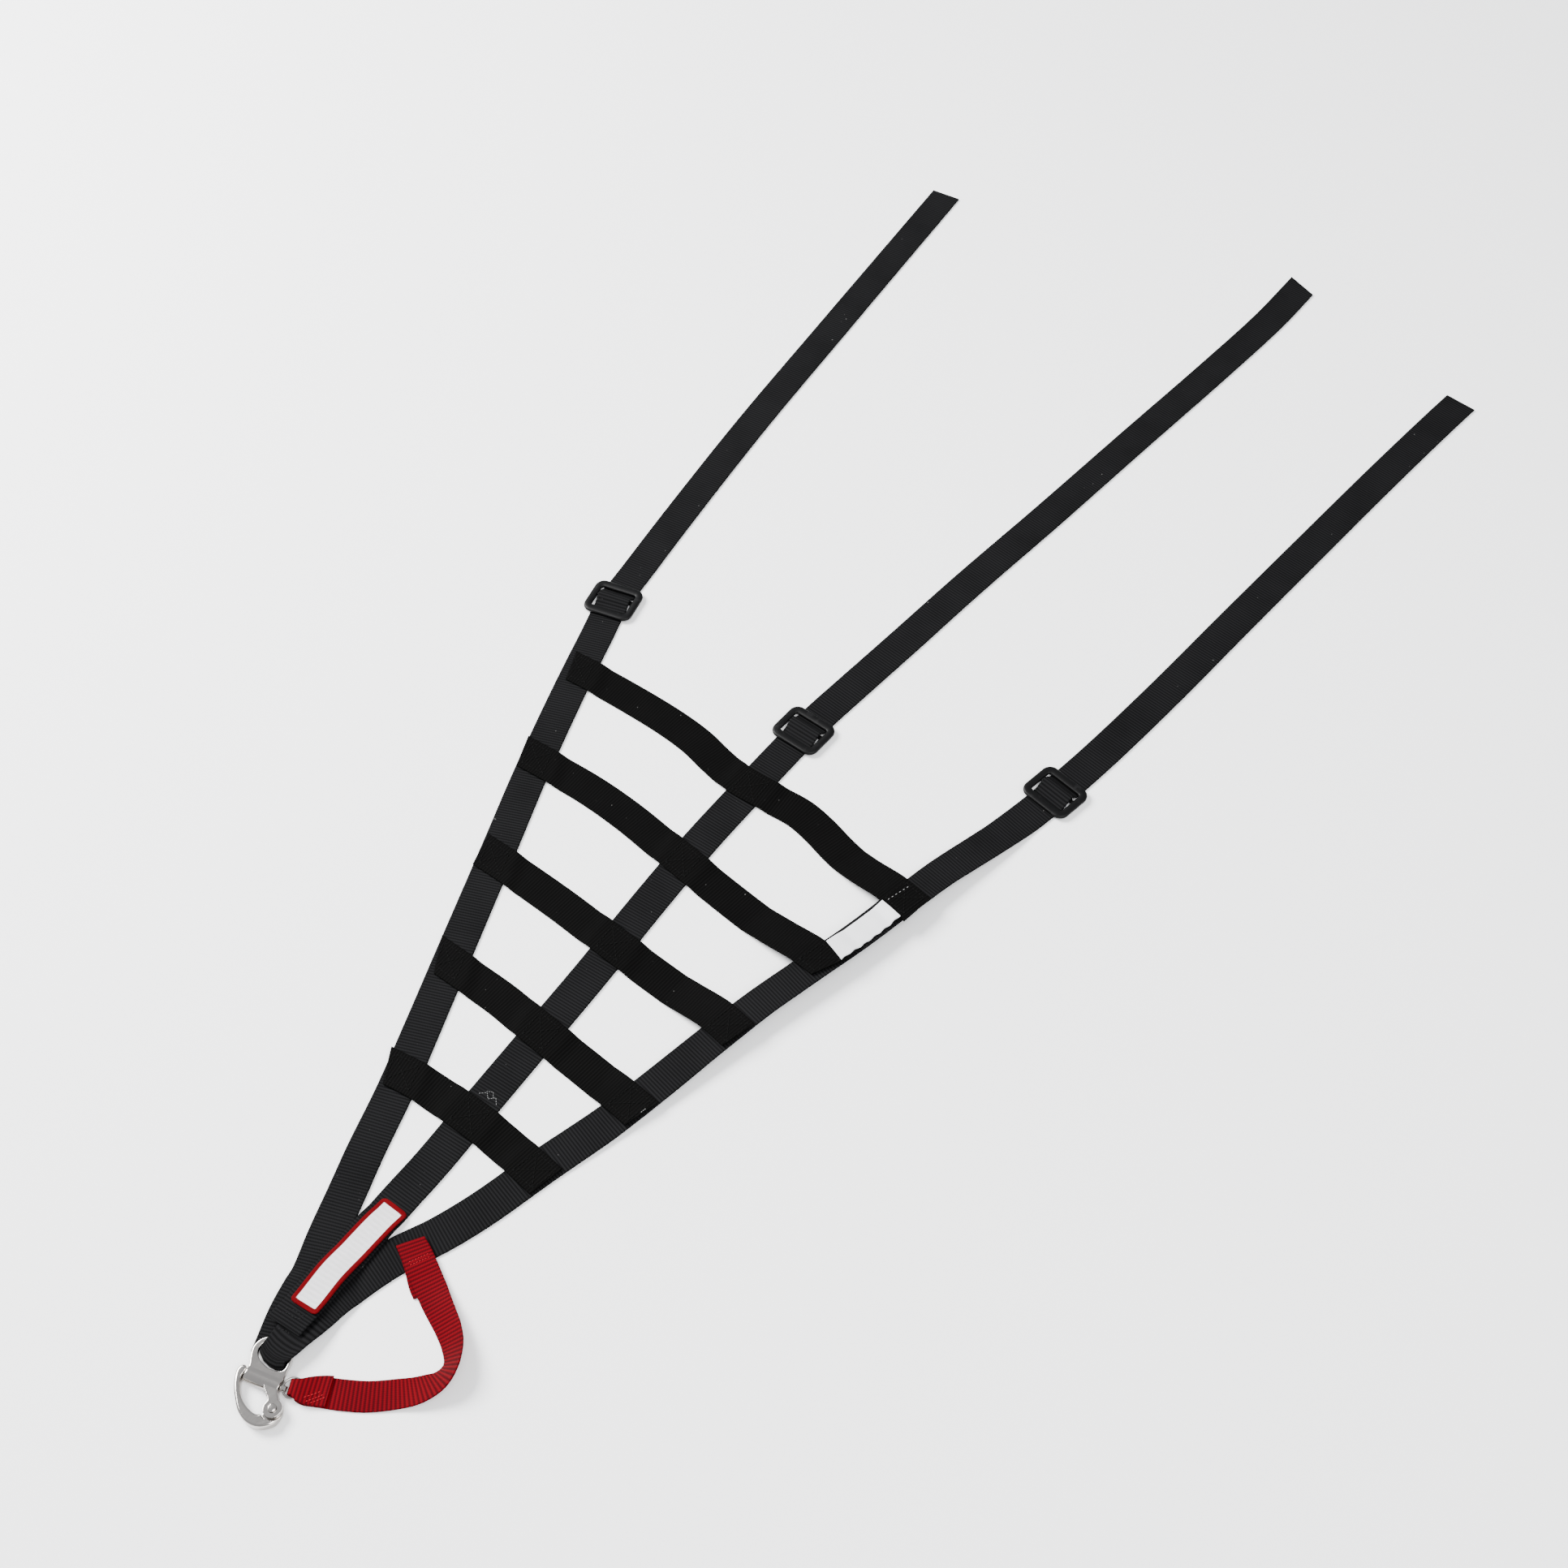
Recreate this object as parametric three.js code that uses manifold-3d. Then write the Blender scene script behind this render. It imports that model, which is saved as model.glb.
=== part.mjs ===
// Racing window net laid out flat: three long webbing straps that meet at a snap shackle, five cross straps
// sewn over them, a slider on each long strap, a red release tether, a patch and a cloth label.
// Millimetres, +Z up, +Y from the shackle to the free ends of the long straps.
import * as THREE from "three";
import { mergeVertices } from "three/addons/utils/BufferGeometryUtils.js";
import Module from "manifold-3d";

const wasm = await Module();
wasm.setup();

// Driving dimensions
const GAP = 0.3;
const WEB_WIDTH = 25.4;
const WEB_THICK = 1.4;
const TETHER_THICK = 1.2;
const TRIM_THICK = 1;
const SLIDER = {
  across: 38.6, along: 31, corner: 7, window: [27.8, 18.6], thick: 2.6, bar: 3.2, barThick: 1.7, edge: 0.6,
};
const HUMP = { height: 4.7, before: 9.4, after: 6.4, top: 2.4 };
const BAIL = { bottom: 3.4, thick: 3 };
const BAR = { radius: 3.8, half: 4.9, from: -12.2, to: 10.6 };
const PIVOT = { x: 13.7, y: -13.5, pin: 2, bore: 2.3, legBoss: 5.7, clear: 7.3, button: 2.6 };
const ARM = { bottom: 0.4, top: 7 };
const RING = { x: 17.5, y: 2.5, radius: 6.2, wire: 0.7, low: 2.2 };

// The shackle's own frame: origin at the middle of its barrel, x along the barrel
const SHACKLE = { x: -16.6, y: 21.7, turn: 14.6 };

// Drape: spacing of the rings, how steeply a strap leaves an edge, and how flat it stays across
const STEP = 3;
const DROP = 0.22;
const SIDE = 0.1;
const CELLS = 4;
const TOLERANCE = 0.1;

// Turns rows of numbers under named columns into records
function table(columns, ...rows) {
  const names = columns.split(" ");
  return rows.map((row) => Object.fromEntries(names.map((name, i) => [name, row[i] ?? 0])));
}

// Centre lines of the long straps from the shackle to their free ends, with the tilt across in degrees
const LEFT_ROUTE = table("x y bank",
  [-27.5, 40], [-36, 60.5], [-43.5, 86], [-53.5, 110], [-64, 138], [-74, 164], [-88.5, 206], [-105.5, 249],
  [-131, 312], [-160, 384], [-186, 448], [-212, 518], [-228.5, 566], [-239.7, 600], [-246.5, 640],
  [-256, 700],
  [-271, 806], [-285, 930], [-296, 1030], [-306, 1122]);
const MIDDLE_ROUTE = table("x y bank",
  [-29.5, 51], [-30.5, 65], [-32.5, 100], [-34.5, 150], [-35, 183], [-37.5, 225], [-40.5, 280], [-44, 345],
  [-49, 411], [-52, 470], [-52.5, 525], [-52.5, 560], [-52, 585], [-51, 606], [-48, 640], [-43, 695],
  [-37, 765],
  [-27, 860], [-17.5, 960], [-7, 1066], [-1, 1140], [0, 1192]);
const RIGHT_ROUTE = table("x y bank",
  [-20.5, 35], [-21.5, 62], [-20, 86], [-11, 122], [1.5, 150], [11, 178], [22, 222], [34, 265, 3],
  [43, 303, 9], [53, 350, 17], [62, 390, 22], [72.8, 430, 24], [82.8, 468, 24], [90.2, 505, 22],
  [97, 540, 17],
  [107, 580, 8], [114.5, 612, 0], [120.3, 642.7], [126.5, 685], [134, 758], [141, 848], [148.5, 940],
  [156.5, 1035], [164, 1112], [167.5, 1143]);

// Cross straps from the left strap to the right strap. skew0 and skew1 are how much farther along the strap
// its lower corner lies than its upper corner, at each end.
const CROSS = {
  cross_strap_1: { skew: [9, 2], route: table("x y",
    [-225, 535], [-205, 536.5], [-170, 537.5], [-133, 537], [-108, 534.5], [-86, 529.5], [-62, 525.5],
    [-35, 526.5],
    [-12, 527.5], [6, 524.5], [28, 518.5], [52, 513.5], [78, 510], [103, 504.5]) },
  cross_strap_2: { skew: [9, -9], route: table("x y",
    [-202, 456], [-176, 457.5], [-140, 458.5], [-105, 456.5], [-66, 451.5], [-30, 447], [6, 443], [40, 440],
    [62, 438.5], [83, 436]) },
  cross_strap_3: { skew: [8, -3], route: table("x y",
    [-169, 376], [-140, 376], [-94, 374.5], [-58, 372], [-20, 369.5], [20, 367.5], [44, 366], [66, 362]) },
  cross_strap_4: { skew: [16, -4], route: table("x y",
    [-135, 296.5], [-108, 296.5], [-77, 296], [-50, 293.5], [-25, 291.5],
    [4, 289.5], [27, 287.5], [50, 284.5]) },
  cross_strap_5: { skew: [11, -2], route: table("x y",
    [-104.5, 216], [-80, 219.5], [-50, 220.5], [-20, 220], [5, 218], [31, 215]) },
};

const SLIDERS = table("x y turn", [-239.7, 600, 13.5], [-52, 585, -2], [120.3, 642.7, -9.5]);

// Patch and label centre lines
const PATCH = { width: 20.5, round: 3, route: table("x y", [-29, 66], [-32.4, 104], [-32.4, 148.5]) };
const LABEL = { width: 18, skew: [-2, 0], route: table("x y", [78.3, 446.5], [83.5, 469], [89, 495]) };

// Where the right strap turns down through the bail, in the shackle's frame, from its left edge to its right
const FOLD = table("x y", [-11.5, 13.4], [-7, 9.8], [-2.2, 8.1], [2.6, 7.8], [7, 9.5]);
const FOLD_RADIUS = 2.65;
const TAIL = { length: 44, heading: 109, spread: 24 };

// Tether, by its right edge: place, height of its left edge's underside, direction to that edge, how steeply
// the right edge is raised, and width.
// The loop row set goes from the cut end over the ring to the fold, the run from the fold to the right strap.
const TETHER_LOOP = table("x y z across bank wide",
  [22, 31.5, 1.5, 118, 0, 19], [16.5, 28, 1.8, 118, 0, 18.5], [11, 25, 3, 118, 0, 16.5],
  [6, 23.8, 4, 118, 0, 13], [1.6, 24.4, 4, 118, 0, 9.5]);
const TETHER_RUN = table("x y z across bank wide",
  [1.6, 24.4, 0, 118, 0, 9.5], [6, 23.8, 0, 118, 0, 13], [11, 25, 0, 118, 0, 16.5],
  [16.5, 28, 0, 119, 0, 18.5],
  [30.5, 35.5, 0, 124, 0, 19], [43.5, 44, 0, 128, 0, 19], [56.3, 55.3, 0, 134, 3, 19],
  [65.9, 65.2, 0, 145, 12, 19], [71.9, 75.5, 0, 159, 25, 19], [73.8, 84.5, 0, 174, 39, 19],
  [71.2, 95.8, 0, 198, 49, 19], [63.6, 106.8, 0, 221, 41, 19], [54.2, 114.5, 0.1, 233, 32, 19],
  [46, 119.2, 0.3, 237, 26, 19], [38, 123.5, 0.6, 241, 19, 19],
  [29, 128.5, 1.5, 243, 8, 19], [20, 133, 2.2, 243, 3, 19], [12.5, 136.8, 3.2, 243, 0, 19],
  [4, 140.8, 3.2, 240, 0, 18.5], [-3, 143.3, 3.2, 237, 0, 18]);
const TETHER_HEM = table("x y z across bank wide",
  [-3, 143.3, 1.7, 237, 0, 18], [4, 140.3, 1.7, 240, 0, 18.5], [10.8, 136.8, 1.7, 243, 0, 19],
  [19, 131, 0.5, 243, 0, 19], [26, 127.5, 0, 243, 0, 19]);

// Colours and surfaces
const MATERIALS = {
  webbing: { color: 0x1d1d1f, roughness: 0.9, metalness: 0 },
  red: { color: 0xb01c27, roughness: 0.85, metalness: 0 },
  patch: { color: 0xe6e4e6, roughness: 0.8, metalness: 0 },
  label: { color: 0xf2f2f4, roughness: 0.6, metalness: 0 },
  slider: { color: 0x232325, roughness: 0.45, metalness: 0.2 },
  steel: { color: 0xcfccc6, roughness: 0.22, metalness: 1 },
};

const group = new THREE.Group();

function add(name, geometry, material) {
  const mesh = new THREE.Mesh(geometry, new THREE.MeshStandardMaterial(MATERIALS[material]));
  mesh.name = name;
  group.add(mesh);
}

const radians = THREE.MathUtils.degToRad;
const lerp = THREE.MathUtils.lerp;
const ease = THREE.MathUtils.smoothstep;

// Plan curve through a route's points, by distance along it, going straight on past its ends
function planPath(route) {
  const knots = route.map((row) => new THREE.Vector3(row.x, row.y, 0));
  const curve = new THREE.CatmullRomCurve3(knots, false, "centripetal");
  curve.arcLengthDivisions = 800;
  const length = curve.getLength();
  const at = (s) => {
    const u = THREE.MathUtils.clamp(s / length, 0, 1);
    const heading = curve.getTangentAt(u);
    const place = curve.getPointAt(u).addScaledVector(heading, s - u * length);
    return { place, heading, right: new THREE.Vector3(heading.y, -heading.x, 0) };
  };
  const stations = [];
  for (let k = 0; k <= 1600; k++) stations.push(curve.getPointAt(k / 1600));
  const near = (point) => {
    let best = 0;
    stations.forEach((p, k) => {
      if (p.distanceToSquared(point) < stations[best].distanceToSquared(point)) best = k;
    });
    return (best / 1600) * length;
  };
  return { length, at, near, marks: knots.map(near) };
}

// Value of a route's column at a distance along its path
function along(path, route, column, s) {
  const last = path.marks.length - 1;
  if (s <= path.marks[0]) return route[0][column] ?? 0;
  if (s >= path.marks[last]) return route[last][column] ?? 0;
  const k = path.marks.findIndex((mark, i) => i > 0 && s <= mark);
  const t = (s - path.marks[k - 1]) / (path.marks[k] - path.marks[k - 1]);
  return lerp(route[k - 1][column] ?? 0, route[k][column] ?? 0, t);
}

// Height of a grid's upper face over a point, or -Infinity beside it
function heightOver(grid, thick, x, y) {
  let top = -Infinity;
  for (let i = 0; i + 1 < grid.length; i++) {
    const a = grid[i][0];
    if (Math.abs(a.x - x) > 60 || Math.abs(a.y - y) > 60) continue;
    for (let j = 0; j + 1 < grid[i].length; j++) {
      const quad = [grid[i][j], grid[i][j + 1], grid[i + 1][j + 1], grid[i + 1][j]];
      const [a, b, c, d] = quad;
      top = Math.max(top, inTriangle(a, b, c, x, y), inTriangle(a, c, d, x, y));
    }
  }
  return top + thick;
}

function inTriangle(a, b, c, x, y) {
  const area = (b.x - a.x) * (c.y - a.y) - (c.x - a.x) * (b.y - a.y);
  if (Math.abs(area) < 1e-9) return -Infinity;
  const v = ((x - a.x) * (c.y - a.y) - (c.x - a.x) * (y - a.y)) / area;
  const w = ((b.x - a.x) * (y - a.y) - (x - a.x) * (b.y - a.y)) / area;
  if (v < -1e-6 || w < -1e-6 || v + w > 1 + 1e-6) return -Infinity;
  return a.z + v * (b.z - a.z) + w * (c.z - a.z);
}

// A support that a strip can lie on: its upper face, taken a little wider than it is
function support(grid, thick) {
  const reach = 1.2;
  const offsets = [[0, 0], [reach, 0], [-reach, 0], [0, reach], [0, -reach]];
  return (x, y) => Math.max(...offsets.map(([dx, dy]) => heightOver(grid, thick, x + dx, y + dy)));
}

// Grid of underside points of a strip that lies on the floor and over its supports.
// start replaces the first ring's plan places, and blend is how far on they fade out.
function lay(route, options) {
  const { width = WEB_WIDTH, thick = WEB_THICK, over = [], skew = [0, 0], round = 0, start = null } = options;
  const { blend = 0, humpAt = null, drop = DROP, cells = CELLS } = options;
  const path = planPath(route);
  const hump = humpAt ? path.near(new THREE.Vector3(humpAt.x, humpAt.y, 0)) + HUMP.top : -Infinity;
  const grid = [];
  for (const stop of stops(path.length, hump)) {
    const row = [];
    row.stop = stop;
    for (let j = 0; j <= cells; j++) {
      const v = j / cells - 0.5;
      const s = lerp(skew[0] * v, path.length + skew[1] * v, stop / path.length);
      const { place, right } = path.at(s);
      const bank = radians(along(path, route, "bank", s));
      const end = Math.min(round, Math.max(0, Math.min(s, path.length - s)));
      const inset = round - Math.sqrt(round * round - (round - end) ** 2);
      const point = place.addScaledVector(right, v * (width - 2 * inset) * Math.cos(bank));
      if (start && s < blend) point.lerp(start[j], 1 - ease(s, 0, blend));
      point.z = (v + 0.5) * width * Math.sin(bank);
      point.along = s;
      row.push(point);
    }
    grid.push(row);
  }
  if (over.length) rest(grid, over);
  settle(grid, drop);
  for (const point of grid.flat()) {
    const away = point.along - hump;
    const half = away < 0 ? HUMP.before : HUMP.after;
    if (Math.abs(away) < half) point.z += HUMP.height * Math.cos((Math.PI * away) / (2 * half)) ** 2;
  }
  return grid;
}

// Distances along a strip for its rings, closer together over a slider's bar
function stops(length, hump) {
  const list = [];
  const count = Math.ceil(length / STEP);
  for (let i = 0; i <= count; i++) list.push((i / count) * length);
  for (let away = -HUMP.before; hump > 0 && away <= HUMP.after; away++) list.push(hump + away);
  return list.sort((a, b) => a - b).filter((s, i, all) => i === 0 || s - all[i - 1] > 0.4);
}

// Lifts each point over whatever lies under it or under the points next to it
function rest(grid, over) {
  const need = grid.map((row) => row.map((p) => Math.max(...over.map((top) => top(p.x, p.y) + GAP))));
  grid.forEach((row, i) => row.forEach((p, j) => {
    for (const [di, dj] of [[0, 0], [1, 0], [-1, 0], [0, 1], [0, -1]]) {
      p.z = Math.max(p.z, need[i + di]?.[j + dj] ?? 0);
    }
  }));
}

// Cloth leaves an edge no steeper than drop along the strip, and stays nearly flat across it
function settle(grid, drop) {
  const ease1 = (from, to, slope) => {
    to.z = Math.max(to.z, from.z - slope * Math.hypot(to.x - from.x, to.y - from.y));
  };
  for (let pass = 0; pass < 2; pass++) {
    for (let i = 1; i < grid.length; i++) grid[i].forEach((p, j) => ease1(grid[i - 1][j], p, drop));
    for (let i = grid.length - 2; i >= 0; i--) grid[i].forEach((p, j) => ease1(grid[i + 1][j], p, drop));
    for (const row of grid) {
      for (let j = 1; j < row.length; j++) ease1(row[j - 1], row[j], SIDE);
      for (let j = row.length - 2; j >= 0; j--) ease1(row[j + 1], row[j], SIDE);
    }
  }
}

// Rings of a laid strip: the lower and the upper face points
function ringsOf(grid, thick) {
  return grid.map((row, i) => ({
    stop: row.stop ?? i,
    back: row.map((p) => p.clone()),
    face: row.map((p) => new THREE.Vector3(p.x, p.y, p.z + thick)),
  }));
}

// Leaves out rings that lie on the straight line between their neighbours
function prune(rings, tolerance = TOLERANCE, longest = 16) {
  const kept = [rings[0]];
  let from = 0;
  while (from < rings.length - 1) {
    let to = from + 1;
    while (to + 1 < rings.length && to + 1 - from <= longest
      && straight(rings, from, to + 1, tolerance)) to++;
    kept.push(rings[to]);
    from = to;
  }
  return kept;
}

function straight(rings, from, to, tolerance) {
  const point = new THREE.Vector3();
  for (let k = from + 1; k < to; k++) {
    const t = (rings[k].stop - rings[from].stop) / (rings[to].stop - rings[from].stop);
    for (const side of ["back", "face"]) {
      for (let j = 0; j < rings[k][side].length; j++) {
        point.lerpVectors(rings[from][side][j], rings[to][side][j], t);
        if (point.distanceTo(rings[k][side][j]) > tolerance) return false;
      }
    }
  }
  return true;
}

// Closed solid through the rings, with a rounded selvedge along each side
function stripGeometry(rings, thick) {
  const places = [];
  const faces = [];
  const last = rings[0].back.length - 1;
  const size = 2 * (last + 1) + 2;
  const selvedge = (ring, j, inner) => {
    const middle = ring.back[j].clone().add(ring.face[j]).multiplyScalar(0.5);
    const within = ring.back[inner].clone().add(ring.face[inner]).multiplyScalar(0.5);
    const out = middle.clone().sub(within).normalize();
    ring.back[j].addScaledVector(out, -thick / 4);
    ring.face[j].addScaledVector(out, -thick / 4);
    return middle;
  };
  for (const source of rings) {
    const ring = { back: source.back.map((p) => p.clone()), face: source.face.map((p) => p.clone()) };
    const leftEdge = selvedge(ring, 0, 1);
    const rightEdge = selvedge(ring, last, last - 1);
    places.push(...ring.back, rightEdge, ...ring.face.reverse(), leftEdge);
  }
  for (let i = 0; i + 1 < rings.length; i++) {
    for (let k = 0; k < size; k++) {
      const a = i * size + k;
      const b = i * size + ((k + 1) % size);
      faces.push(a, b, b + size, a, b + size, a + size);
    }
  }
  for (const [base, flip] of [[0, true], [(rings.length - 1) * size, false]]) {
    const cap = [];
    for (let j = 0; j < last; j++) {
      const other = size - 2 - j;
      cap.push([j, j + 1, other - 1], [j, other - 1, other]);
    }
    cap.push([last, last + 1, last + 2], [0, size - 2, size - 1]);
    for (const [a, b, c] of cap) faces.push(base + a, base + (flip ? c : b), base + (flip ? b : c));
  }
  return outward(places, faces);
}

// Indexed geometry whose faces point out
function outward(places, faces) {
  let volume = 0;
  for (let k = 0; k < faces.length; k += 3) {
    const [a, b, c] = [places[faces[k]], places[faces[k + 1]], places[faces[k + 2]]];
    volume += a.dot(b.clone().cross(c));
  }
  if (volume < 0) {
    for (let k = 0; k < faces.length; k += 3) [faces[k + 1], faces[k + 2]] = [faces[k + 2], faces[k + 1]];
  }
  const geometry = new THREE.BufferGeometry();
  const numbers = places.flatMap((p) => [p.x, p.y, p.z]);
  geometry.setAttribute("position", new THREE.Float32BufferAttribute(numbers, 3));
  geometry.setIndex(faces);
  return geometry;
}

// Joining and cutting of closed shapes
function solid(geometry) {
  const bare = geometry.clone();
  bare.deleteAttribute("normal");
  bare.deleteAttribute("uv");
  const merged = mergeVertices(bare, 1e-4);
  return new wasm.Manifold(new wasm.Mesh({
    numProp: 3,
    vertProperties: new Float32Array(merged.attributes.position.array),
    triVerts: new Uint32Array(merged.index.array),
  }));
}

function geometryOf(manifold) {
  const mesh = manifold.getMesh();
  const geometry = new THREE.BufferGeometry();
  geometry.setAttribute("position", new THREE.BufferAttribute(new Float32Array(mesh.vertProperties), 3));
  geometry.setIndex(new THREE.BufferAttribute(new Uint32Array(mesh.triVerts), 1));
  return geometry;
}

// Flat plate between two heights, with its edges rounded over by a bevel
function plate(shape, bottom, top, bevel = 0, curveSegments = 8) {
  const geometry = new THREE.ExtrudeGeometry(shape, {
    depth: top - bottom - 2 * bevel, curveSegments, steps: 1,
    bevelEnabled: bevel > 0, bevelThickness: bevel, bevelSize: bevel, bevelOffset: -bevel, bevelSegments: 2,
  });
  return geometry.translate(0, 0, bottom + bevel);
}

function pin(radius, bottom, top, x, y, sides = 24) {
  return new THREE.CylinderGeometry(radius, radius, top - bottom, sides)
    .rotateX(Math.PI / 2).translate(x, y, (top + bottom) / 2);
}

function splineShape(points, closed = true) {
  const knots = points.map(([x, y]) => new THREE.Vector3(x, y, 0));
  const curve = new THREE.CatmullRomCurve3(knots, closed, "centripetal");
  return new THREE.Shape(curve.getPoints(points.length * 3).slice(0, closed ? -1 : undefined)
    .map((p) => new THREE.Vector2(p.x, p.y)));
}

function roundedRectangle(shape, width, height, radius) {
  const [x, y] = [width / 2, height / 2];
  shape.moveTo(x, -y + radius);
  shape.lineTo(x, y - radius);
  shape.absarc(x - radius, y - radius, radius, 0, Math.PI / 2);
  shape.lineTo(-x + radius, y);
  shape.absarc(-x + radius, y - radius, radius, Math.PI / 2, Math.PI);
  shape.lineTo(-x, -y + radius);
  shape.absarc(-x + radius, -y + radius, radius, Math.PI, 1.5 * Math.PI);
  shape.lineTo(x - radius, -y);
  shape.absarc(x - radius, -y + radius, radius, 1.5 * Math.PI, 2 * Math.PI);
  return shape;
}

// From the shackle's frame to the part's
const toPart = new THREE.Matrix4().makeRotationZ(radians(SHACKLE.turn)).setPosition(SHACKLE.x, SHACKLE.y, 0);
const local = (x, y, z = 0) => new THREE.Vector3(x, y, z).applyMatrix4(toPart);

// Bail: a flat plate with a hole for the webbing
const BAIL_OUTLINE = [[-12, -1], [-12.8, 4.5], [-15.6, 11.5], [-16.2, 16], [-14.2, 21], [-8.5, 25], [-1, 26],
  [6, 23], [9.2, 16], [10, 9], [10.4, 4], [10.2, -1]];
const BAIL_HOLE = [[-12.5, 15.6], [-11.6, 12.4], [-8.7, 9.6], [-4.2, 7.6], [0.8, 6.7], [5, 7.2], [7.8, 9.4],
  [7.9, 12.5], [6.2, 17], [1.5, 20.3], [-4, 21], [-9, 20.5], [-11.8, 18.6]];
const bailTop = BAIL.bottom + BAIL.thick;
const bailShape = new THREE.Shape(BAIL_OUTLINE.map(([x, y]) => new THREE.Vector2(x, y)));
const bailSupport = (x, y) => {
  const p = new THREE.Vector3(x, y, 0).applyMatrix4(toPart.clone().invert());
  return p.x > -17 && p.x < 11 && p.y > 4 && p.y < 27 ? bailTop : -Infinity;
};

// Long straps. The right strap wraps the bail and its tail returns under the others.
const foldRadiusOuter = FOLD_RADIUS + WEB_THICK;
const foldAxis = FOLD.map(({ x, y }) => local(x, y + foldRadiusOuter));
const inwards = local(0, 1).sub(local(0, 0));
const tailHeading = new THREE.Vector3(Math.cos(radians(TAIL.heading)), Math.sin(radians(TAIL.heading)), 0);
const tailRight = new THREE.Vector3(tailHeading.y, -tailHeading.x, 0);
const tailCount = Math.ceil(TAIL.length / STEP);
const tailGrid = [];
for (let i = 0; i <= tailCount; i++) {
  const s = (i / tailCount) * TAIL.length;
  tailGrid.push(foldAxis.map((start, j) => {
    const middle = foldAxis[2].clone().addScaledVector(tailHeading, s + 6);
    const place = middle.addScaledVector(tailRight, (j / CELLS - 0.5) * WEB_WIDTH);
    return start.clone().addScaledVector(tailHeading, s).lerp(place, ease(s, 0, TAIL.spread)).setZ(0);
  }));
}
const tail = support(tailGrid, WEB_THICK);
const leftGrid = lay(LEFT_ROUTE, { over: [tail], skew: [12, 0], humpAt: SLIDERS[0] });
const left = support(leftGrid, WEB_THICK);
const rightGrid = lay(RIGHT_ROUTE,
  { over: [left, tail, bailSupport], start: foldAxis, blend: 34, humpAt: SLIDERS[2] });
const right = support(rightGrid, WEB_THICK);
const middleGrid = lay(MIDDLE_ROUTE, { over: [left, right], skew: [0, -9], humpAt: SLIDERS[1] });
const middle = support(middleGrid, WEB_THICK);

const foldRings = [];
for (let step = 1; step < 8; step++) {
  const angle = Math.PI * (1 - step / 8);
  const at = (radius) => foldAxis.map((axis) => axis.clone()
    .addScaledVector(inwards, -radius * Math.sin(angle))
    .add(new THREE.Vector3(0, 0, foldRadiusOuter + radius * Math.cos(angle))));
  foldRings.push({ back: at(FOLD_RADIUS), face: at(foldRadiusOuter) });
}
const tailRings = ringsOf(tailGrid, WEB_THICK)
  .map(({ stop, back, face }) => ({ stop: -stop, back: face, face: back })).reverse();
add("strap_left", stripGeometry(prune(ringsOf(leftGrid, WEB_THICK)), WEB_THICK), "webbing");
add("strap_middle", stripGeometry(prune(ringsOf(middleGrid, WEB_THICK)), WEB_THICK), "webbing");
add("strap_right", stripGeometry(
  [...prune(tailRings), ...foldRings, ...prune(ringsOf(rightGrid, WEB_THICK))], WEB_THICK), "webbing");

// Cross straps lie over the long ones
const crossTops = [];
for (const [name, { route, skew }] of Object.entries(CROSS)) {
  const grid = lay(route, { over: [left, middle, right], skew, cells: 3 });
  crossTops.push(support(grid, WEB_THICK));
  add(name, stripGeometry(prune(ringsOf(grid, WEB_THICK)), WEB_THICK), "webbing");
}

// Patch on the middle strap, label on the right strap
const patchGrid = lay(PATCH.route,
  { width: PATCH.width, thick: TRIM_THICK, over: [middle, right, left], round: PATCH.round });
add("patch", stripGeometry(prune(ringsOf(patchGrid, TRIM_THICK)), TRIM_THICK), "patch");
const labelGrid = lay(LABEL.route,
  { width: LABEL.width, thick: TRIM_THICK, over: [right, crossTops[0], crossTops[1]], skew: LABEL.skew });
add("label", stripGeometry(prune(ringsOf(labelGrid, TRIM_THICK)), TRIM_THICK), "label");

// Sliders: a rounded frame with a low bar across its window
for (const [k, name] of ["slider_left", "slider_middle", "slider_right"].entries()) {
  const outline = roundedRectangle(new THREE.Shape(), SLIDER.across, SLIDER.along, SLIDER.corner);
  outline.holes.push(roundedRectangle(new THREE.Path(), SLIDER.window[0], SLIDER.window[1], 1.5));
  const bottom = WEB_THICK + GAP;
  const frame = solid(plate(outline, bottom, bottom + SLIDER.thick, SLIDER.edge, 4));
  const bar = new THREE.BoxGeometry(SLIDER.window[0] + 3, SLIDER.bar, SLIDER.barThick)
    .translate(0, HUMP.top, bottom + SLIDER.barThick / 2 + 0.2);
  const { x, y, turn } = SLIDERS[k];
  add(name, geometryOf(frame.add(solid(bar))).rotateZ(radians(turn)).translate(x, y, 0), "slider");
}

// Tether sections: place of the right edge, direction to the left edge, and width
function sections(rows, thick) {
  const columns = ["x", "y", "z", "across", "bank", "wide"];
  const curves = columns.map((column) =>
    new THREE.SplineCurve(rows.map((row, i) => new THREE.Vector2(i, row[column]))));
  const list = [];
  const fine = (rows.length - 1) * 3;
  for (let k = 0; k <= fine; k++) {
    const [x, y, z, across, bank, wide] = curves.map((curve) => curve.getPoint(k / fine).y);
    const [a, b] = [radians(across), -radians(Math.max(bank, 0))];
    const direction = new THREE.Vector3(Math.cos(a) * Math.cos(b), Math.sin(a) * Math.cos(b), Math.sin(b));
    const lift = (thick / 2) * Math.cos(b) - wide * Math.sin(b);
    list.push({ place: new THREE.Vector3(x, y, Math.max(z, 0) + lift), direction, wide });
  }
  return list;
}

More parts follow.
